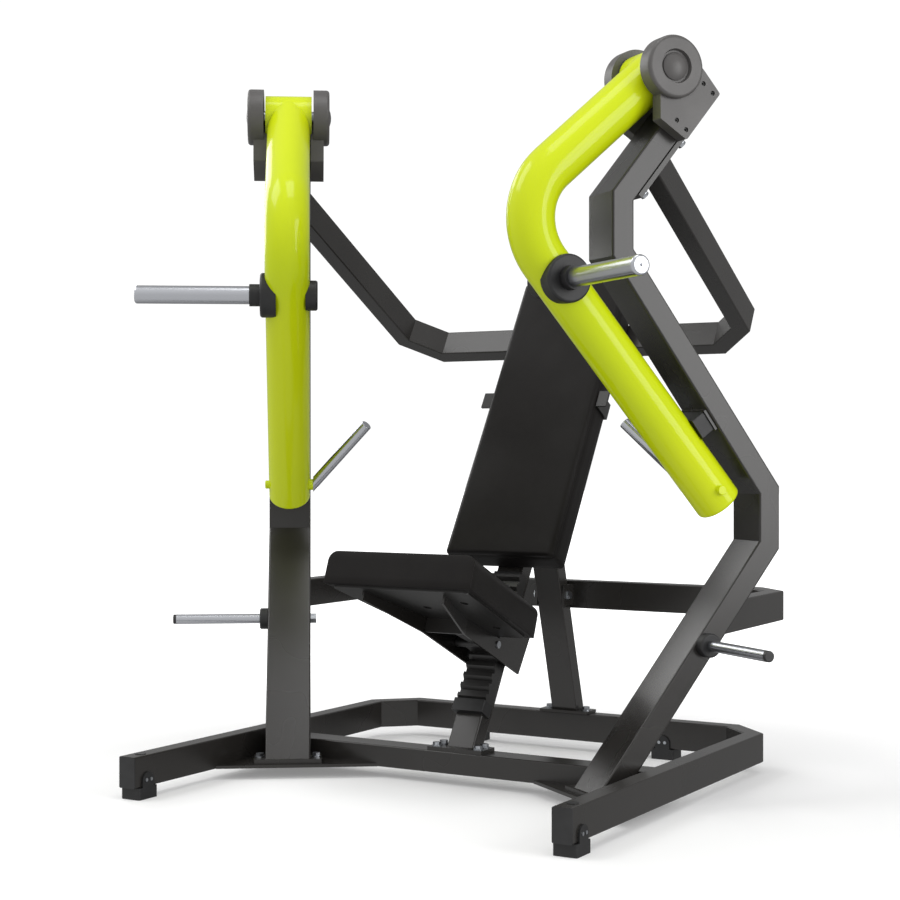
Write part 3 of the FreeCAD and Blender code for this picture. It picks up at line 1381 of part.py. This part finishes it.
def build_pegs():
    export("storage_pegs", both_sides([in_plane(storage_peg())]))
    export("storage_peg_tips", both_sides([in_plane(storage_peg_tip())]))
    export("storage_peg_collars", both_sides([in_plane(storage_peg_collar())]))
    export("storage_peg_nuts", both_sides([in_plane(storage_peg_nut())]))


def build_rear(upright):
    uprights = [upright, mirrored(upright)]
    export("mid_frame", [mid_frame(uprights)])
    mounts = both_sides([in_plane(yoke_mount_block(0.0, YOKE_PLATE_THICK))])
    export("rear_yoke", [rear_yoke(uprights + mounts)])
    export("frame_joint_plates", both_sides([in_plane(yoke_mount_plate())]) + mid_lugs())
    bolts = []
    for seat in yoke_bolt_seats():
        for piece in hex_bolt(seat, HEAD_NORMAL, YOKE_PLATE_THICK + 12):
            bolts.extend(both_sides([in_plane(piece)]))
    export("frame_joint_bolts", bolts + mid_bolts())


def build_spine():
    export("spine_tube", [spine_tube()])
    export("rear_post", [rear_post().cut(mid_bolt_line(0.5))])
    export("rack_cover", [rack_cover()])
    export("rack_stop", [rack_stop()])
    export("gas_spring_rod", [gas_rod()])
    export("gas_spring_bracket", [gas_bracket()])
    export("backrest_board", [backrest_board()])
    export("backrest_pad", [backrest_pad()])
    export("backrest_straps", backrest_cross_plates())
    export("backrest_screws", backrest_screws())


def build_seat():
    export("seat_pad", [seat_pad()])
    export("seat_board", [seat_board()])
    export("seat_plate", [seat_plate()])
    export("carriage_cheeks", both_sides([cheek()]))
    export("carriage_ties", carriage_ties())
    export("carriage_glides", both_sides(carriage_glides()))
    export("gas_spring_cylinder", [gas_cylinder()])
    export("seat_pawl", [seat_pawl()])
    export("pawl_pin", [pawl_pin()])


os.makedirs("parts", exist_ok=True)
build_base()
upright_envelope = build_uprights()
build_pivots()
build_arms()
build_pegs()
build_rear(upright_envelope)
build_spine()
build_seat()
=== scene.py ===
import json
from math import radians

import bmesh
import bpy
from mathutils import Matrix, Vector


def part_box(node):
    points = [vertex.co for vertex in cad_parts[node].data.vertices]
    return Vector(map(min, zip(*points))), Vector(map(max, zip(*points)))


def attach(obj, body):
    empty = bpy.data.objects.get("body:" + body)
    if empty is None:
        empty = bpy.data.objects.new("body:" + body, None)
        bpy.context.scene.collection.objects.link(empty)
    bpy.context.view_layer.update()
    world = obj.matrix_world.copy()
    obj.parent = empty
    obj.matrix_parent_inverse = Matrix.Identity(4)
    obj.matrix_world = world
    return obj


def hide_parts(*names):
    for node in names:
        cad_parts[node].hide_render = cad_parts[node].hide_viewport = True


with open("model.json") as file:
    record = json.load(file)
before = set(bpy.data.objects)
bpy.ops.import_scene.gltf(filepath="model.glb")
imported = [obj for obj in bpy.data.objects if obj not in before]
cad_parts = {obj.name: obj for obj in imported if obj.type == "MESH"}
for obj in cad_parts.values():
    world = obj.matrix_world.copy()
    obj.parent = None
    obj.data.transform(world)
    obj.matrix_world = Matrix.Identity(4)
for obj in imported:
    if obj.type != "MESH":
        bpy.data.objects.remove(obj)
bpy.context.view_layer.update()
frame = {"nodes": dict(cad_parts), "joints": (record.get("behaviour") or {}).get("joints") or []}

# Frame tubes: welded rectangular steel tube under charcoal polyester powder coat.
# Powder cures to a satin skin with a faint orange peel, so edges catch a soft line.
# The same coat is on every tube's plates and gussets and on the seat carriage.
CHARCOAL = "252321"
CHARCOAL_DUSTED = "2a2826"
ORANGE_PEEL_M = 0.0035      # real peel is about 1 mm; drawn coarser so that it shows
PEEL_HEIGHT_M = 0.00006
COAT_CLOUD_M = 0.25         # slow change in film thickness along a tube
BLOTCH_LOW = 0.35           # noise at or under this gives a cloud's first colour
BLOTCH_HIGH = 0.65          # and at or over this its second


def linear(hex_colour):
    """An sRGB hex colour as linear RGBA."""
    parts = [int(hex_colour[i:i + 2], 16) / 255 for i in (0, 2, 4)]
    return [p / 12.92 if p <= 0.04045 else ((p + 0.055) / 1.055) ** 2.4 for p in parts] + [1.0]


def add(tree, kind, sockets, **settings):
    """Adds a node; sockets are set or linked by name, settings are its properties."""
    node = tree.nodes.new("ShaderNode" + kind)
    for name, value in settings.items():
        setattr(node, name, value)
    for name, value in sockets.items():
        if isinstance(value, bpy.types.NodeSocket):
            tree.links.new(value, node.inputs[name])
        else:
            node.inputs[name].default_value = value
    return node


def start_material(name):
    """An empty node material and the object coordinates that its patterns read."""
    material = bpy.data.materials.new(name)
    material.use_nodes = True
    tree = material.node_tree
    tree.nodes.clear()
    return material, tree, add(tree, "TexCoord", {}).outputs["Object"]


def end_material(tree, shader):
    """Joins the shader to the material's output."""
    add(tree, "OutputMaterial", {"Surface": shader.outputs["BSDF"]})


def blotches(tree, place, size, low, high, detail=3.0):
    """Cloudy mix of two colours, with clouds about 'size' metres across."""
    noise = add(tree, "TexNoise", {"Vector": place, "Scale": 1 / size, "Detail": detail})
    ramp = add(tree, "ValToRGB", {"Fac": noise.outputs["Fac"]})
    ramp.color_ramp.elements[0].position = BLOTCH_LOW
    ramp.color_ramp.elements[1].position = BLOTCH_HIGH
    ramp.color_ramp.elements[0].color = linear(low)
    ramp.color_ramp.elements[1].color = linear(high)
    return ramp.outputs["Color"]


def relief(tree, place, size, height):
    """Fine bumps about 'size' metres apart and 'height' metres tall."""
    noise = add(tree, "TexNoise", {"Vector": place, "Scale": 1 / size, "Detail": 2.0})
    bump = add(tree, "Bump", {"Height": noise.outputs["Fac"], "Distance": height})
    return bump.outputs["Normal"]


def finish(material, *nodes):
    """Gives CAD nodes this material."""
    for name in nodes:
        mesh = frame["nodes"][name].data
        mesh.materials.clear()
        mesh.materials.append(material)


powder_coat, tree, place = start_material("charcoal_powder_coat")
film = add(tree, "TexNoise", {"Vector": place, "Scale": 1 / COAT_CLOUD_M, "Detail": 2.0})
satin = add(tree, "MapRange", {"Value": film.outputs["Fac"], "To Min": 0.23, "To Max": 0.31})
coat = add(tree, "BsdfPrincipled", {
    "Base Color": blotches(tree, place, COAT_CLOUD_M, CHARCOAL, CHARCOAL_DUSTED),
    "Roughness": satin.outputs["Result"],
    "IOR": 1.5,
    "Normal": relief(tree, place, ORANGE_PEEL_M, PEEL_HEIGHT_M),
})
end_material(tree, coat)
finish(powder_coat, "base_loop", "base_crossbar", "base_gussets", "right_upright", "left_upright",
       "mid_frame", "rear_yoke", "spine_tube", "rear_post", "tube_base_plates", "frame_joint_plates",
       "arm_stop_plates", "gas_spring_bracket", "carriage_cheeks", "carriage_ties")

# Pivot brackets and their end caps: sand-cast iron, machined on the seats and painted dark grey.
# The casting skin shows through the paint as a fine pebbled grain, duller than the tubes.
CAST_GREY = "4e4c4b"
CAST_GREY_LIGHT = "555352"
CAST_CLOUD_M = 0.08
CAST_GRAIN_M = 0.003
CAST_GRAIN_HEIGHT_M = 0.00012

cast_paint, tree, place = start_material("painted_cast_iron")
casting = add(tree, "BsdfPrincipled", {
    "Base Color": blotches(tree, place, CAST_CLOUD_M, CAST_GREY, CAST_GREY_LIGHT),
    "Roughness": 0.42,
    "IOR": 1.5,
    "Normal": relief(tree, place, CAST_GRAIN_M, CAST_GRAIN_HEIGHT_M),
})
end_material(tree, casting)
finish(cast_paint, "right_pivot_brackets", "left_pivot_brackets", "pivot_end_caps")

# Lever arms: bent round steel tube in gloss lime paint under clear lacquer.
# The lacquer gives soft-edged window shapes, and the sprayed colour shifts very slightly.
LIME = "c6d80e"
LIME_WARM = "cedc12"
LIME_CLOUD_M = 0.3
SPRAY_RIPPLE_M = 0.006
SPRAY_HEIGHT_M = 0.00003

lime_paint, tree, place = start_material("gloss_lime_lacquer")
lime = add(tree, "BsdfPrincipled", {
    "Base Color": blotches(tree, place, LIME_CLOUD_M, LIME, LIME_WARM, detail=1.0),
    "Roughness": 0.32,
    "IOR": 1.5,
    "Specular IOR Level": 0.05,
    "Coat Weight": 0.5,
    "Coat Roughness": 0.11,
    "Coat IOR": 1.5,
    "Normal": relief(tree, place, SPRAY_RIPPLE_M, SPRAY_HEIGHT_M),
})
end_material(tree, lime)
finish(lime_paint, "right_arm", "left_arm")

# Plate horns, storage pegs, handles and gas spring rod: drawn steel, polished and chrome plated.
# Polishing on a lathe leaves rings too fine to see, which soften the reflections.
CHROME = "bcbec3"
POLISH_CLOUD_M = 1 / 60
LATHE_RING_M = 0.002
LATHE_HEIGHT_M = 0.00001

chrome, tree, place = start_material("satin_chrome")
polish = add(tree, "TexNoise", {"Vector": place, "Scale": 1 / POLISH_CLOUD_M, "Detail": 3.0})
smear = add(tree, "MapRange", {"Value": polish.outputs["Fac"], "To Min": 0.20, "To Max": 0.30})
plated = add(tree, "BsdfPrincipled", {
    "Base Color": linear(CHROME),
    "Metallic": 1.0,
    "Roughness": smear.outputs["Result"],
    "Normal": relief(tree, place, LATHE_RING_M, LATHE_HEIGHT_M),
})
end_material(tree, plated)
finish(chrome, "right_plate_horn", "left_plate_horn", "storage_pegs", "right_handle", "left_handle",
       "gas_spring_rod")

# Bolts, nuts, screws, pins, spacers, shafts and bearings: steel with bright zinc plating.
# Zinc has a bluish cast and a faint crystal mottle, brighter than the frame round it.
ZINC = "b9bcc0"
ZINC_DULL = "9fa3a8"
ZINC_CRYSTAL_M = 0.006
ZINC_GRAIN_M = 0.002
ZINC_GRAIN_HEIGHT_M = 0.00002

zinc, tree, place = start_material("bright_zinc_plate")
plating = add(tree, "BsdfPrincipled", {
    "Base Color": blotches(tree, place, ZINC_CRYSTAL_M, ZINC_DULL, ZINC),
    "Metallic": 1.0,
    "Roughness": 0.3,
    "Normal": relief(tree, place, ZINC_GRAIN_M, ZINC_GRAIN_HEIGHT_M),
})
end_material(tree, plating)
finish(zinc, "base_plate_bolts", "frame_joint_bolts", "foot_screws", "storage_peg_nuts", "pawl_pin",
       "pivot_shafts", "pivot_spacers", "right_hub_bearings", "left_hub_bearings",
       "backrest_screws")

# Horn and peg collars, stud covers, stop buffers, feet and rack stop: moulded black rubber.
# Rubber is dull with a soft edge highlight and a little grey bloom.
RUBBER = "111112"
RUBBER_BLOOM = "19191a"
BLOOM_CLOUD_M = 0.03
MOULD_SKIN_M = 0.0025
MOULD_HEIGHT_M = 0.00008

rubber, tree, place = start_material("moulded_black_rubber")
moulding = add(tree, "BsdfPrincipled", {
    "Base Color": blotches(tree, place, BLOOM_CLOUD_M, RUBBER, RUBBER_BLOOM),
    "Roughness": 0.5,
    "IOR": 1.52,
    "Normal": relief(tree, place, MOULD_SKIN_M, MOULD_HEIGHT_M),
})
end_material(tree, moulding)
finish(rubber, "right_horn_collar", "left_horn_collar", "right_horn_stud_cover", "left_horn_stud_cover",
       "arm_stop_buffers", "floor_feet", "rack_stop", "storage_peg_collars")

# Tube lids, rail plugs, peg tips and carriage runners: injection-moulded black nylon.
# A spark-eroded mould gives it an even fine texture and a low satin shine.
NYLON = "161617"
NYLON_LIGHT = "232324"
NYLON_CLOUD_M = 0.05
SPARK_TEXTURE_M = 0.0015
SPARK_HEIGHT_M = 0.00005

nylon, tree, place = start_material("moulded_black_nylon")
moulded = add(tree, "BsdfPrincipled", {
    "Base Color": blotches(tree, place, NYLON_CLOUD_M, NYLON, NYLON_LIGHT),
    "Roughness": 0.4,
    "IOR": 1.53,
    "Normal": relief(tree, place, SPARK_TEXTURE_M, SPARK_HEIGHT_M),
})
end_material(tree, moulded)
finish(nylon, "tube_end_caps", "rail_top_plugs", "storage_peg_tips", "carriage_glides")

# Rack cover, seat plate, straps, pawl and gas spring body: steel in black powder coat.
# The coat is thinner than on the tubes, so the pressed edges stay crisp.
# The bracket screws are black oxide, which looks the same deep in their holes.
BLACK_COAT = "201f1e"
BLACK_COAT_LIGHT = "222120"
BLACK_CLOUD_M = 0.1

black_coat, tree, place = start_material("black_powder_coat")
pressed = add(tree, "BsdfPrincipled", {
    "Base Color": blotches(tree, place, BLACK_CLOUD_M, BLACK_COAT, BLACK_COAT_LIGHT),
    "Roughness": 0.38,
    "IOR": 1.5,
    "Normal": relief(tree, place, ORANGE_PEEL_M, PEEL_HEIGHT_M),
})
end_material(tree, pressed)
finish(black_coat, "rack_cover", "seat_plate", "backrest_straps", "gas_spring_cylinder", "seat_pawl",
       "pivot_bracket_screws")

# Pad boards: birch plywood stained black, its face grain running along each pad.
# Each lies in the back of its cushion and stands out of it by a fraction of a millimetre,
# so from behind its whole face shows inside a rim of vinyl.
STAINED = "1d1a18"
STAINED_DARK = "131110"
GRAIN_M = 0.006
GRAIN_HEIGHT_M = 0.0001
GRAIN_STRETCH = (1.0, 0.08, 0.08)

plywood, tree, place = start_material("black_stained_plywood")
along = add(tree, "Mapping", {"Vector": place, "Scale": GRAIN_STRETCH})
board = add(tree, "BsdfPrincipled", {
    "Base Color": blotches(tree, along.outputs["Vector"], GRAIN_M,
                           STAINED_DARK, STAINED, detail=6.0),
    "Roughness": 0.6,
    "IOR": 1.5,
    "Normal": relief(tree, along.outputs["Vector"], GRAIN_M, GRAIN_HEIGHT_M),
})
end_material(tree, board)
finish(plywood, "backrest_board", "seat_board")

# Seat and backrest pads: dense foam on a board, wrapped in black grained vinyl.
# The backrest cover is sewn round its face, which pulls a shallow groove; the seat has no seam.
# Each face is slightly crowned, and the sides draw in a little between the corners.
# A cushion is one closed form with no pocket, so most of its board lies inside it.
VINYL = "161413"
VINYL_WORN = "1a1817"
LEATHER_CELL_M = 0.004      # real grain cells are 1 mm; drawn coarser so that they show
SEAT_TILT = 20.9            # degrees, the front edge up
SEAT_WIDTHS = (0.340, 0.432)     # rear, front
SEAT_SIZE = (0.450, 0.087)       # length, thickness
BACK_WIDTHS = (0.340, 0.340)
BACK_SIZE = (0.921, 0.0837)
BACK_ROLLS = (0.020, 0.010)      # radius of the long and of the end edges of the face
SEAT_ROLLS = (0.026, 0.003)
BASE_ROLL = 0.004           # where the cover turns under the board
BACK_CROWN = 0.005
SEAT_CROWN = 0.003
DRAWN_IN = 0.006            # how far the sides draw in, as a share of the half width
SEAM_HALF = 0.003
SEAM_DEPTH = 0.0016
SLICE = 0.03
SIDE_SLICES = (0.35, 0.7)   # shares of the seam's height
ROLL_STEPS = (8, 5, 2)      # facets round the long, the end and the base edges
SHARP = 0.9                 # radians; an edge that turns more than this is a corner
UPRIGHT_FACE = 0.7          # a normal this far along X or Y belongs to a side or an end
AT_FACE = 0.99              # over this share of the thickness an edge is on the face
AT_BASE = 0.01              # and under this one on the base
OFF_MIDDLE = 0.1            # metres from the middle line to where the long edges begin
NO_SEAM = 0.0
RUB_CLOUD_M = 1 / 9
VINYL_CLOUD_M = 0.12
CELL_HEIGHT_M = 0.0006

vinyl, tree, place = start_material("black_grained_vinyl")
cells = add(tree, "TexVoronoi", {"Vector": place, "Scale": 1 / LEATHER_CELL_M},
            feature="DISTANCE_TO_EDGE")
pits = add(tree, "Bump", {"Height": cells.outputs["Distance"], "Distance": CELL_HEIGHT_M,
                          "Strength": 0.35})
rub = add(tree, "TexNoise", {"Vector": place, "Scale": 1 / RUB_CLOUD_M, "Detail": 4.0})
shine = add(tree, "MapRange", {"Value": rub.outputs["Fac"], "To Min": 0.40, "To Max": 0.52})
hide = add(tree, "BsdfPrincipled", {
    "Base Color": blotches(tree, place, VINYL_CLOUD_M, VINYL, VINYL_WORN),
    "Roughness": shine.outputs["Result"],
    "IOR": 1.45,
    "Specular IOR Level": 0.15,
    "Normal": pits.outputs["Normal"],
})
end_material(tree, hide)


def bevel(mesh, edges, radius, segments):
    """Rounds these edges."""
    bmesh.ops.bevel(mesh, geom=edges, offset=radius, segments=segments, profile=0.5,
                    affect="EDGES", material=-1, clamp_overlap=True)


def slice_at(mesh, point, normal):
    """Cuts every face on a plane, so that the mesh can bend there."""
    everything = mesh.verts[:] + mesh.edges[:] + mesh.faces[:]
    bmesh.ops.bisect_plane(mesh, geom=everything, plane_co=point, plane_no=normal, dist=1e-6)


def upholstered(name, widths, size, rolls, crown, seam_deep, to_place):
    """A sewn pad: X across, Y along it from -Y end to +Y end, Z out of its face."""
    length, thick = size
    side_roll, end_roll = rolls
    mesh = bmesh.new()
    bmesh.ops.create_cube(mesh, size=1.0)

    def half_width(y):
        share = 0.5 + y / length
        return (widths[0] + (widths[1] - widths[0]) * share) / 2

    for vert in mesh.verts:
        vert.co.y *= length
        vert.co.x *= 2 * half_width(vert.co.y)
        vert.co.z = (vert.co.z + 0.5) * thick

    def edges_where(test):
        return [edge for edge in mesh.edges if test((edge.verts[0].co + edge.verts[1].co) / 2, edge)]

    def long_edge(mid, edge):
        return mid.z > AT_FACE * thick and abs(mid.x) > OFF_MIDDLE

    def sharp_above_base(mid, edge):
        return mid.z > 0.5 * end_roll and edge.calc_face_angle(0) > SHARP

    def sharp_at_base(mid, edge):
        return mid.z < AT_BASE * thick and edge.calc_face_angle(0) > SHARP

    side_steps, end_steps, base_steps = ROLL_STEPS
    bevel(mesh, edges_where(long_edge), side_roll, side_steps)
    bevel(mesh, edges_where(sharp_above_base), end_roll, end_steps)
    bevel(mesh, edges_where(sharp_at_base), BASE_ROLL, base_steps)
    steps = int(length / SLICE)
    for step in range(1, steps):
        slice_at(mesh, (0, -length / 2 + length * step / steps, 0), (0, 1, 0))
    widest = max(widths)
    steps = int(widest / SLICE)
    for step in range(1, steps):
        slice_at(mesh, (-widest / 2 + widest * step / steps, 0, 0), (1, 0, 0))
    seam = thick - side_roll
    below = [share * seam for share in SIDE_SLICES]
    for height in (*below, seam - SEAM_HALF, seam, seam + SEAM_HALF):
        slice_at(mesh, (0, 0, height), (0, 0, 1))
    mesh.normal_update()
    for vert in mesh.verts:
        across = min(abs(vert.co.x) / half_width(vert.co.y), 1.0)
        along_it = min(abs(vert.co.y) / (length / 2), 1.0)
        lift = vert.co.z / thick
        side = abs(vert.normal.x) > UPRIGHT_FACE
        end = abs(vert.normal.y) > UPRIGHT_FACE
        if abs(vert.co.z - seam) < 1e-5 and (side or end):
            vert.co -= vert.normal * seam_deep
        if side:
            vert.co.x *= 1 - DRAWN_IN * (1 - along_it ** 2) * lift
        if end:
            vert.co.y *= 1 - 0.5 * DRAWN_IN * (1 - across ** 2) * lift
        vert.co.z += crown * (1 - across ** 2.5) * (1 - along_it ** 6) * lift ** 3
    mesh.transform(to_place)
    bmesh.ops.recalc_face_normals(mesh, faces=mesh.faces[:])
    data = bpy.data.meshes.new(name)
    mesh.to_mesh(data)
    mesh.free()
    data.shade_smooth()
    data.materials.append(vinyl)
    pad = bpy.data.objects.new(name, data)
    bpy.context.collection.objects.link(pad)
    return pad


def middle(node):
    """The middle of a CAD node's box."""
    low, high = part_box(node)
    return (Vector(low) + Vector(high)) / 2


slide = next(joint for joint in frame["joints"] if joint["name"] == "seat_height")
up_spine = Vector(slide["axis"]).normalized()
off_spine = Vector((1, 0, 0)).cross(up_spine)
BOARD_TO_BACK = 0.0057      # middle of the backrest board to the pad's back face
BOARD_TO_BASE = 0.0059      # middle of the seat board to the pad's underside
back_foot = middle("backrest_board") - off_spine * BOARD_TO_BACK
back_turn = Matrix((Vector((1, 0, 0)), up_spine, off_spine)).transposed().to_4x4()
back_place = Matrix.Translation(back_foot) @ back_turn
backrest = upholstered("backrest_cushion", BACK_WIDTHS, BACK_SIZE, BACK_ROLLS, BACK_CROWN, SEAM_DEPTH,
                       back_place)
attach(backrest, "frame")
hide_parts("backrest_pad")

tilt = Matrix.Rotation(radians(-SEAT_TILT), 4, "X")
seat_up = tilt.to_3x3() @ Vector((0, 0, 1))
turn_round = Matrix.Rotation(radians(180), 4, "Z")
seat_foot = middle("seat_board") - seat_up * BOARD_TO_BASE
seat_place = Matrix.Translation(seat_foot) @ tilt @ turn_round
seat = upholstered("seat_cushion", SEAT_WIDTHS, SEAT_SIZE, SEAT_ROLLS, SEAT_CROWN, NO_SEAM,
                   seat_place)
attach(seat, "seat")
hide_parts("seat_pad")

# Studio: a seamless white floor that glows with painted light, a white surround and large soft boxes.
# The surround is white to the camera and dimmer to the object, which keeps its shading.
WHITE = "ffffff"
PAPER = "e2e2e2"
PAPER_LIGHT = "e4e4e4"
DOME_LOW = 0.74             # what lights the object from the horizon
DOME_HIGH = 0.95            # and from straight above
DOME_BEHIND = 0.46          # share of it that comes from behind the machine
BACKDROP = 1.05             # the surround as it is seen
HORIZON_Z = -0.1            # height on the dome where DOME_LOW holds
ZENITH_Z = 0.9              # and DOME_HIGH
FRONT_Y = -0.6              # where the dome begins to dim towards the back
BEHIND_Y = 0.7
FLOOR_HALF_M = 30.0
GLOW_RISES_FROM_M = 1.1           # painted glow on the paper starts to rise here
GLOW_FULL_AT_M = 3.0             # and is full here, where it hides the edge of the shadow
GLOW_NEAR_MACHINE = 0.20
PAPER_CLOUD_M = 2.0

floor_mesh = bmesh.new()
bmesh.ops.create_grid(floor_mesh, x_segments=1, y_segments=1, size=FLOOR_HALF_M)
floor_data = bpy.data.meshes.new("floor")
floor_mesh.to_mesh(floor_data)
floor_mesh.free()
floor = bpy.data.objects.new("floor", floor_data)
bpy.context.collection.objects.link(floor)
paper, tree, place = start_material("white_paper_painted_glow")
away = add(tree, "VectorMath", {0: place}, operation="LENGTH")
lift = add(tree, "MapRange", {
    "Value": away.outputs["Value"],
    "From Min": GLOW_RISES_FROM_M,
    "From Max": GLOW_FULL_AT_M,
    "To Min": GLOW_NEAR_MACHINE,
    "To Max": 1.0,
}, interpolation_type="SMOOTHSTEP")
# The paper glows, which is painted light: a weak glow near the machine that lightens its shadow, full
# far from it, so the floor reads white without a lamp.
sheet = add(tree, "BsdfPrincipled", {
    "Base Color": blotches(tree, place, PAPER_CLOUD_M, PAPER, PAPER_LIGHT),
    "Roughness": 0.9,
    "Specular IOR Level": 0.0,
    "Emission Color": linear(WHITE),
    "Emission Strength": lift.outputs["Result"],
})
end_material(tree, sheet)
floor_data.materials.append(paper)

# The paper throws no light up and isn't mirrored, so that the undersides stay dark.
floor.visible_diffuse = False
floor.visible_glossy = False

world = bpy.data.worlds.new("studio_surround")
world.use_nodes = True
bpy.context.scene.world = world
bpy.context.scene.view_settings.view_transform = "Standard"
tree = world.node_tree
tree.nodes.clear()
heading = add(tree, "SeparateXYZ", {"Vector": add(tree, "TexCoord", {}).outputs["Generated"]})
dome = add(tree, "MapRange", {
    "Value": heading.outputs["Z"],
    "From Min": HORIZON_Z,
    "From Max": ZENITH_Z,
    "To Min": DOME_LOW,
    "To Max": DOME_HIGH,
})
shade = add(tree, "MapRange", {
    "Value": heading.outputs["Y"],
    "From Min": FRONT_Y,
    "From Max": BEHIND_Y,
    "To Min": 1.0,
    "To Max": DOME_BEHIND,
}, interpolation_type="SMOOTHSTEP")
dimmed = add(tree, "Math", {0: dome.outputs["Result"], 1: shade.outputs["Result"]},
             operation="MULTIPLY")
ray = add(tree, "LightPath", {})
bright = add(tree, "MapRange", {
    "Value": ray.outputs["Is Camera Ray"],
    "To Min": dimmed.outputs["Value"],
    "To Max": BACKDROP,
})
sky = add(tree, "Background", {"Color": linear(WHITE), "Strength": bright.outputs["Result"]})
add(tree, "OutputWorld", {"Surface": sky.outputs["Background"]})


def soft_box(name, place, target, width, height, power):
    """A rectangular light at one place, turned to a target; sizes in metres, power in watts."""
    lamp = bpy.data.lights.new(name, "AREA")
    lamp.shape = "RECTANGLE"
    lamp.size = width
    lamp.size_y = height
    lamp.energy = power
    box = bpy.data.objects.new(name, lamp)
    aim = Vector(target) - Vector(place)
    box.matrix_world = Matrix.Translation(place) @ aim.to_track_quat("-Z", "Y").to_matrix().to_4x4()
    box.visible_camera = False
    bpy.context.collection.objects.link(box)


soft_box("right_box", (5.0, -0.3, 1.9), (0.5, 0, 1.3), 2.4, 3.6, 104)
soft_box("left_box", (-4.5, 1.4, 3.0), (0, 0, 1.2), 2.6, 2.6, 70)
soft_box("front_left_box", (-2.6, -2.0, 4.6), (0, 0, 0.8), 2.2, 2.2, 56)
soft_box("top_box", (0.9, -0.7, 5.2), (0, 0, 0.6), 2.0, 2.0, 40)

# Camera: level, as high as a seated chest, standing to the right of the machine's front.
# It is a long lens from 4.7 metres, so the uprights stay nearly parallel.
CAMERA_PLACE = (2.3166, -4.0532, 0.882)
CAMERA_TURN = 30.5
LENS_MM = 69.8
SENSOR_MM = 36.0

eye = bpy.data.cameras.new("camera")
eye.lens = LENS_MM
eye.sensor_width = SENSOR_MM
camera = bpy.data.objects.new("camera", eye)
heading_turn = Matrix.Rotation(radians(CAMERA_TURN), 4, "Z")
level = Matrix.Rotation(radians(90), 4, "X")
camera.matrix_world = Matrix.Translation(CAMERA_PLACE) @ heading_turn @ level
bpy.context.collection.objects.link(camera)
bpy.context.scene.camera = camera
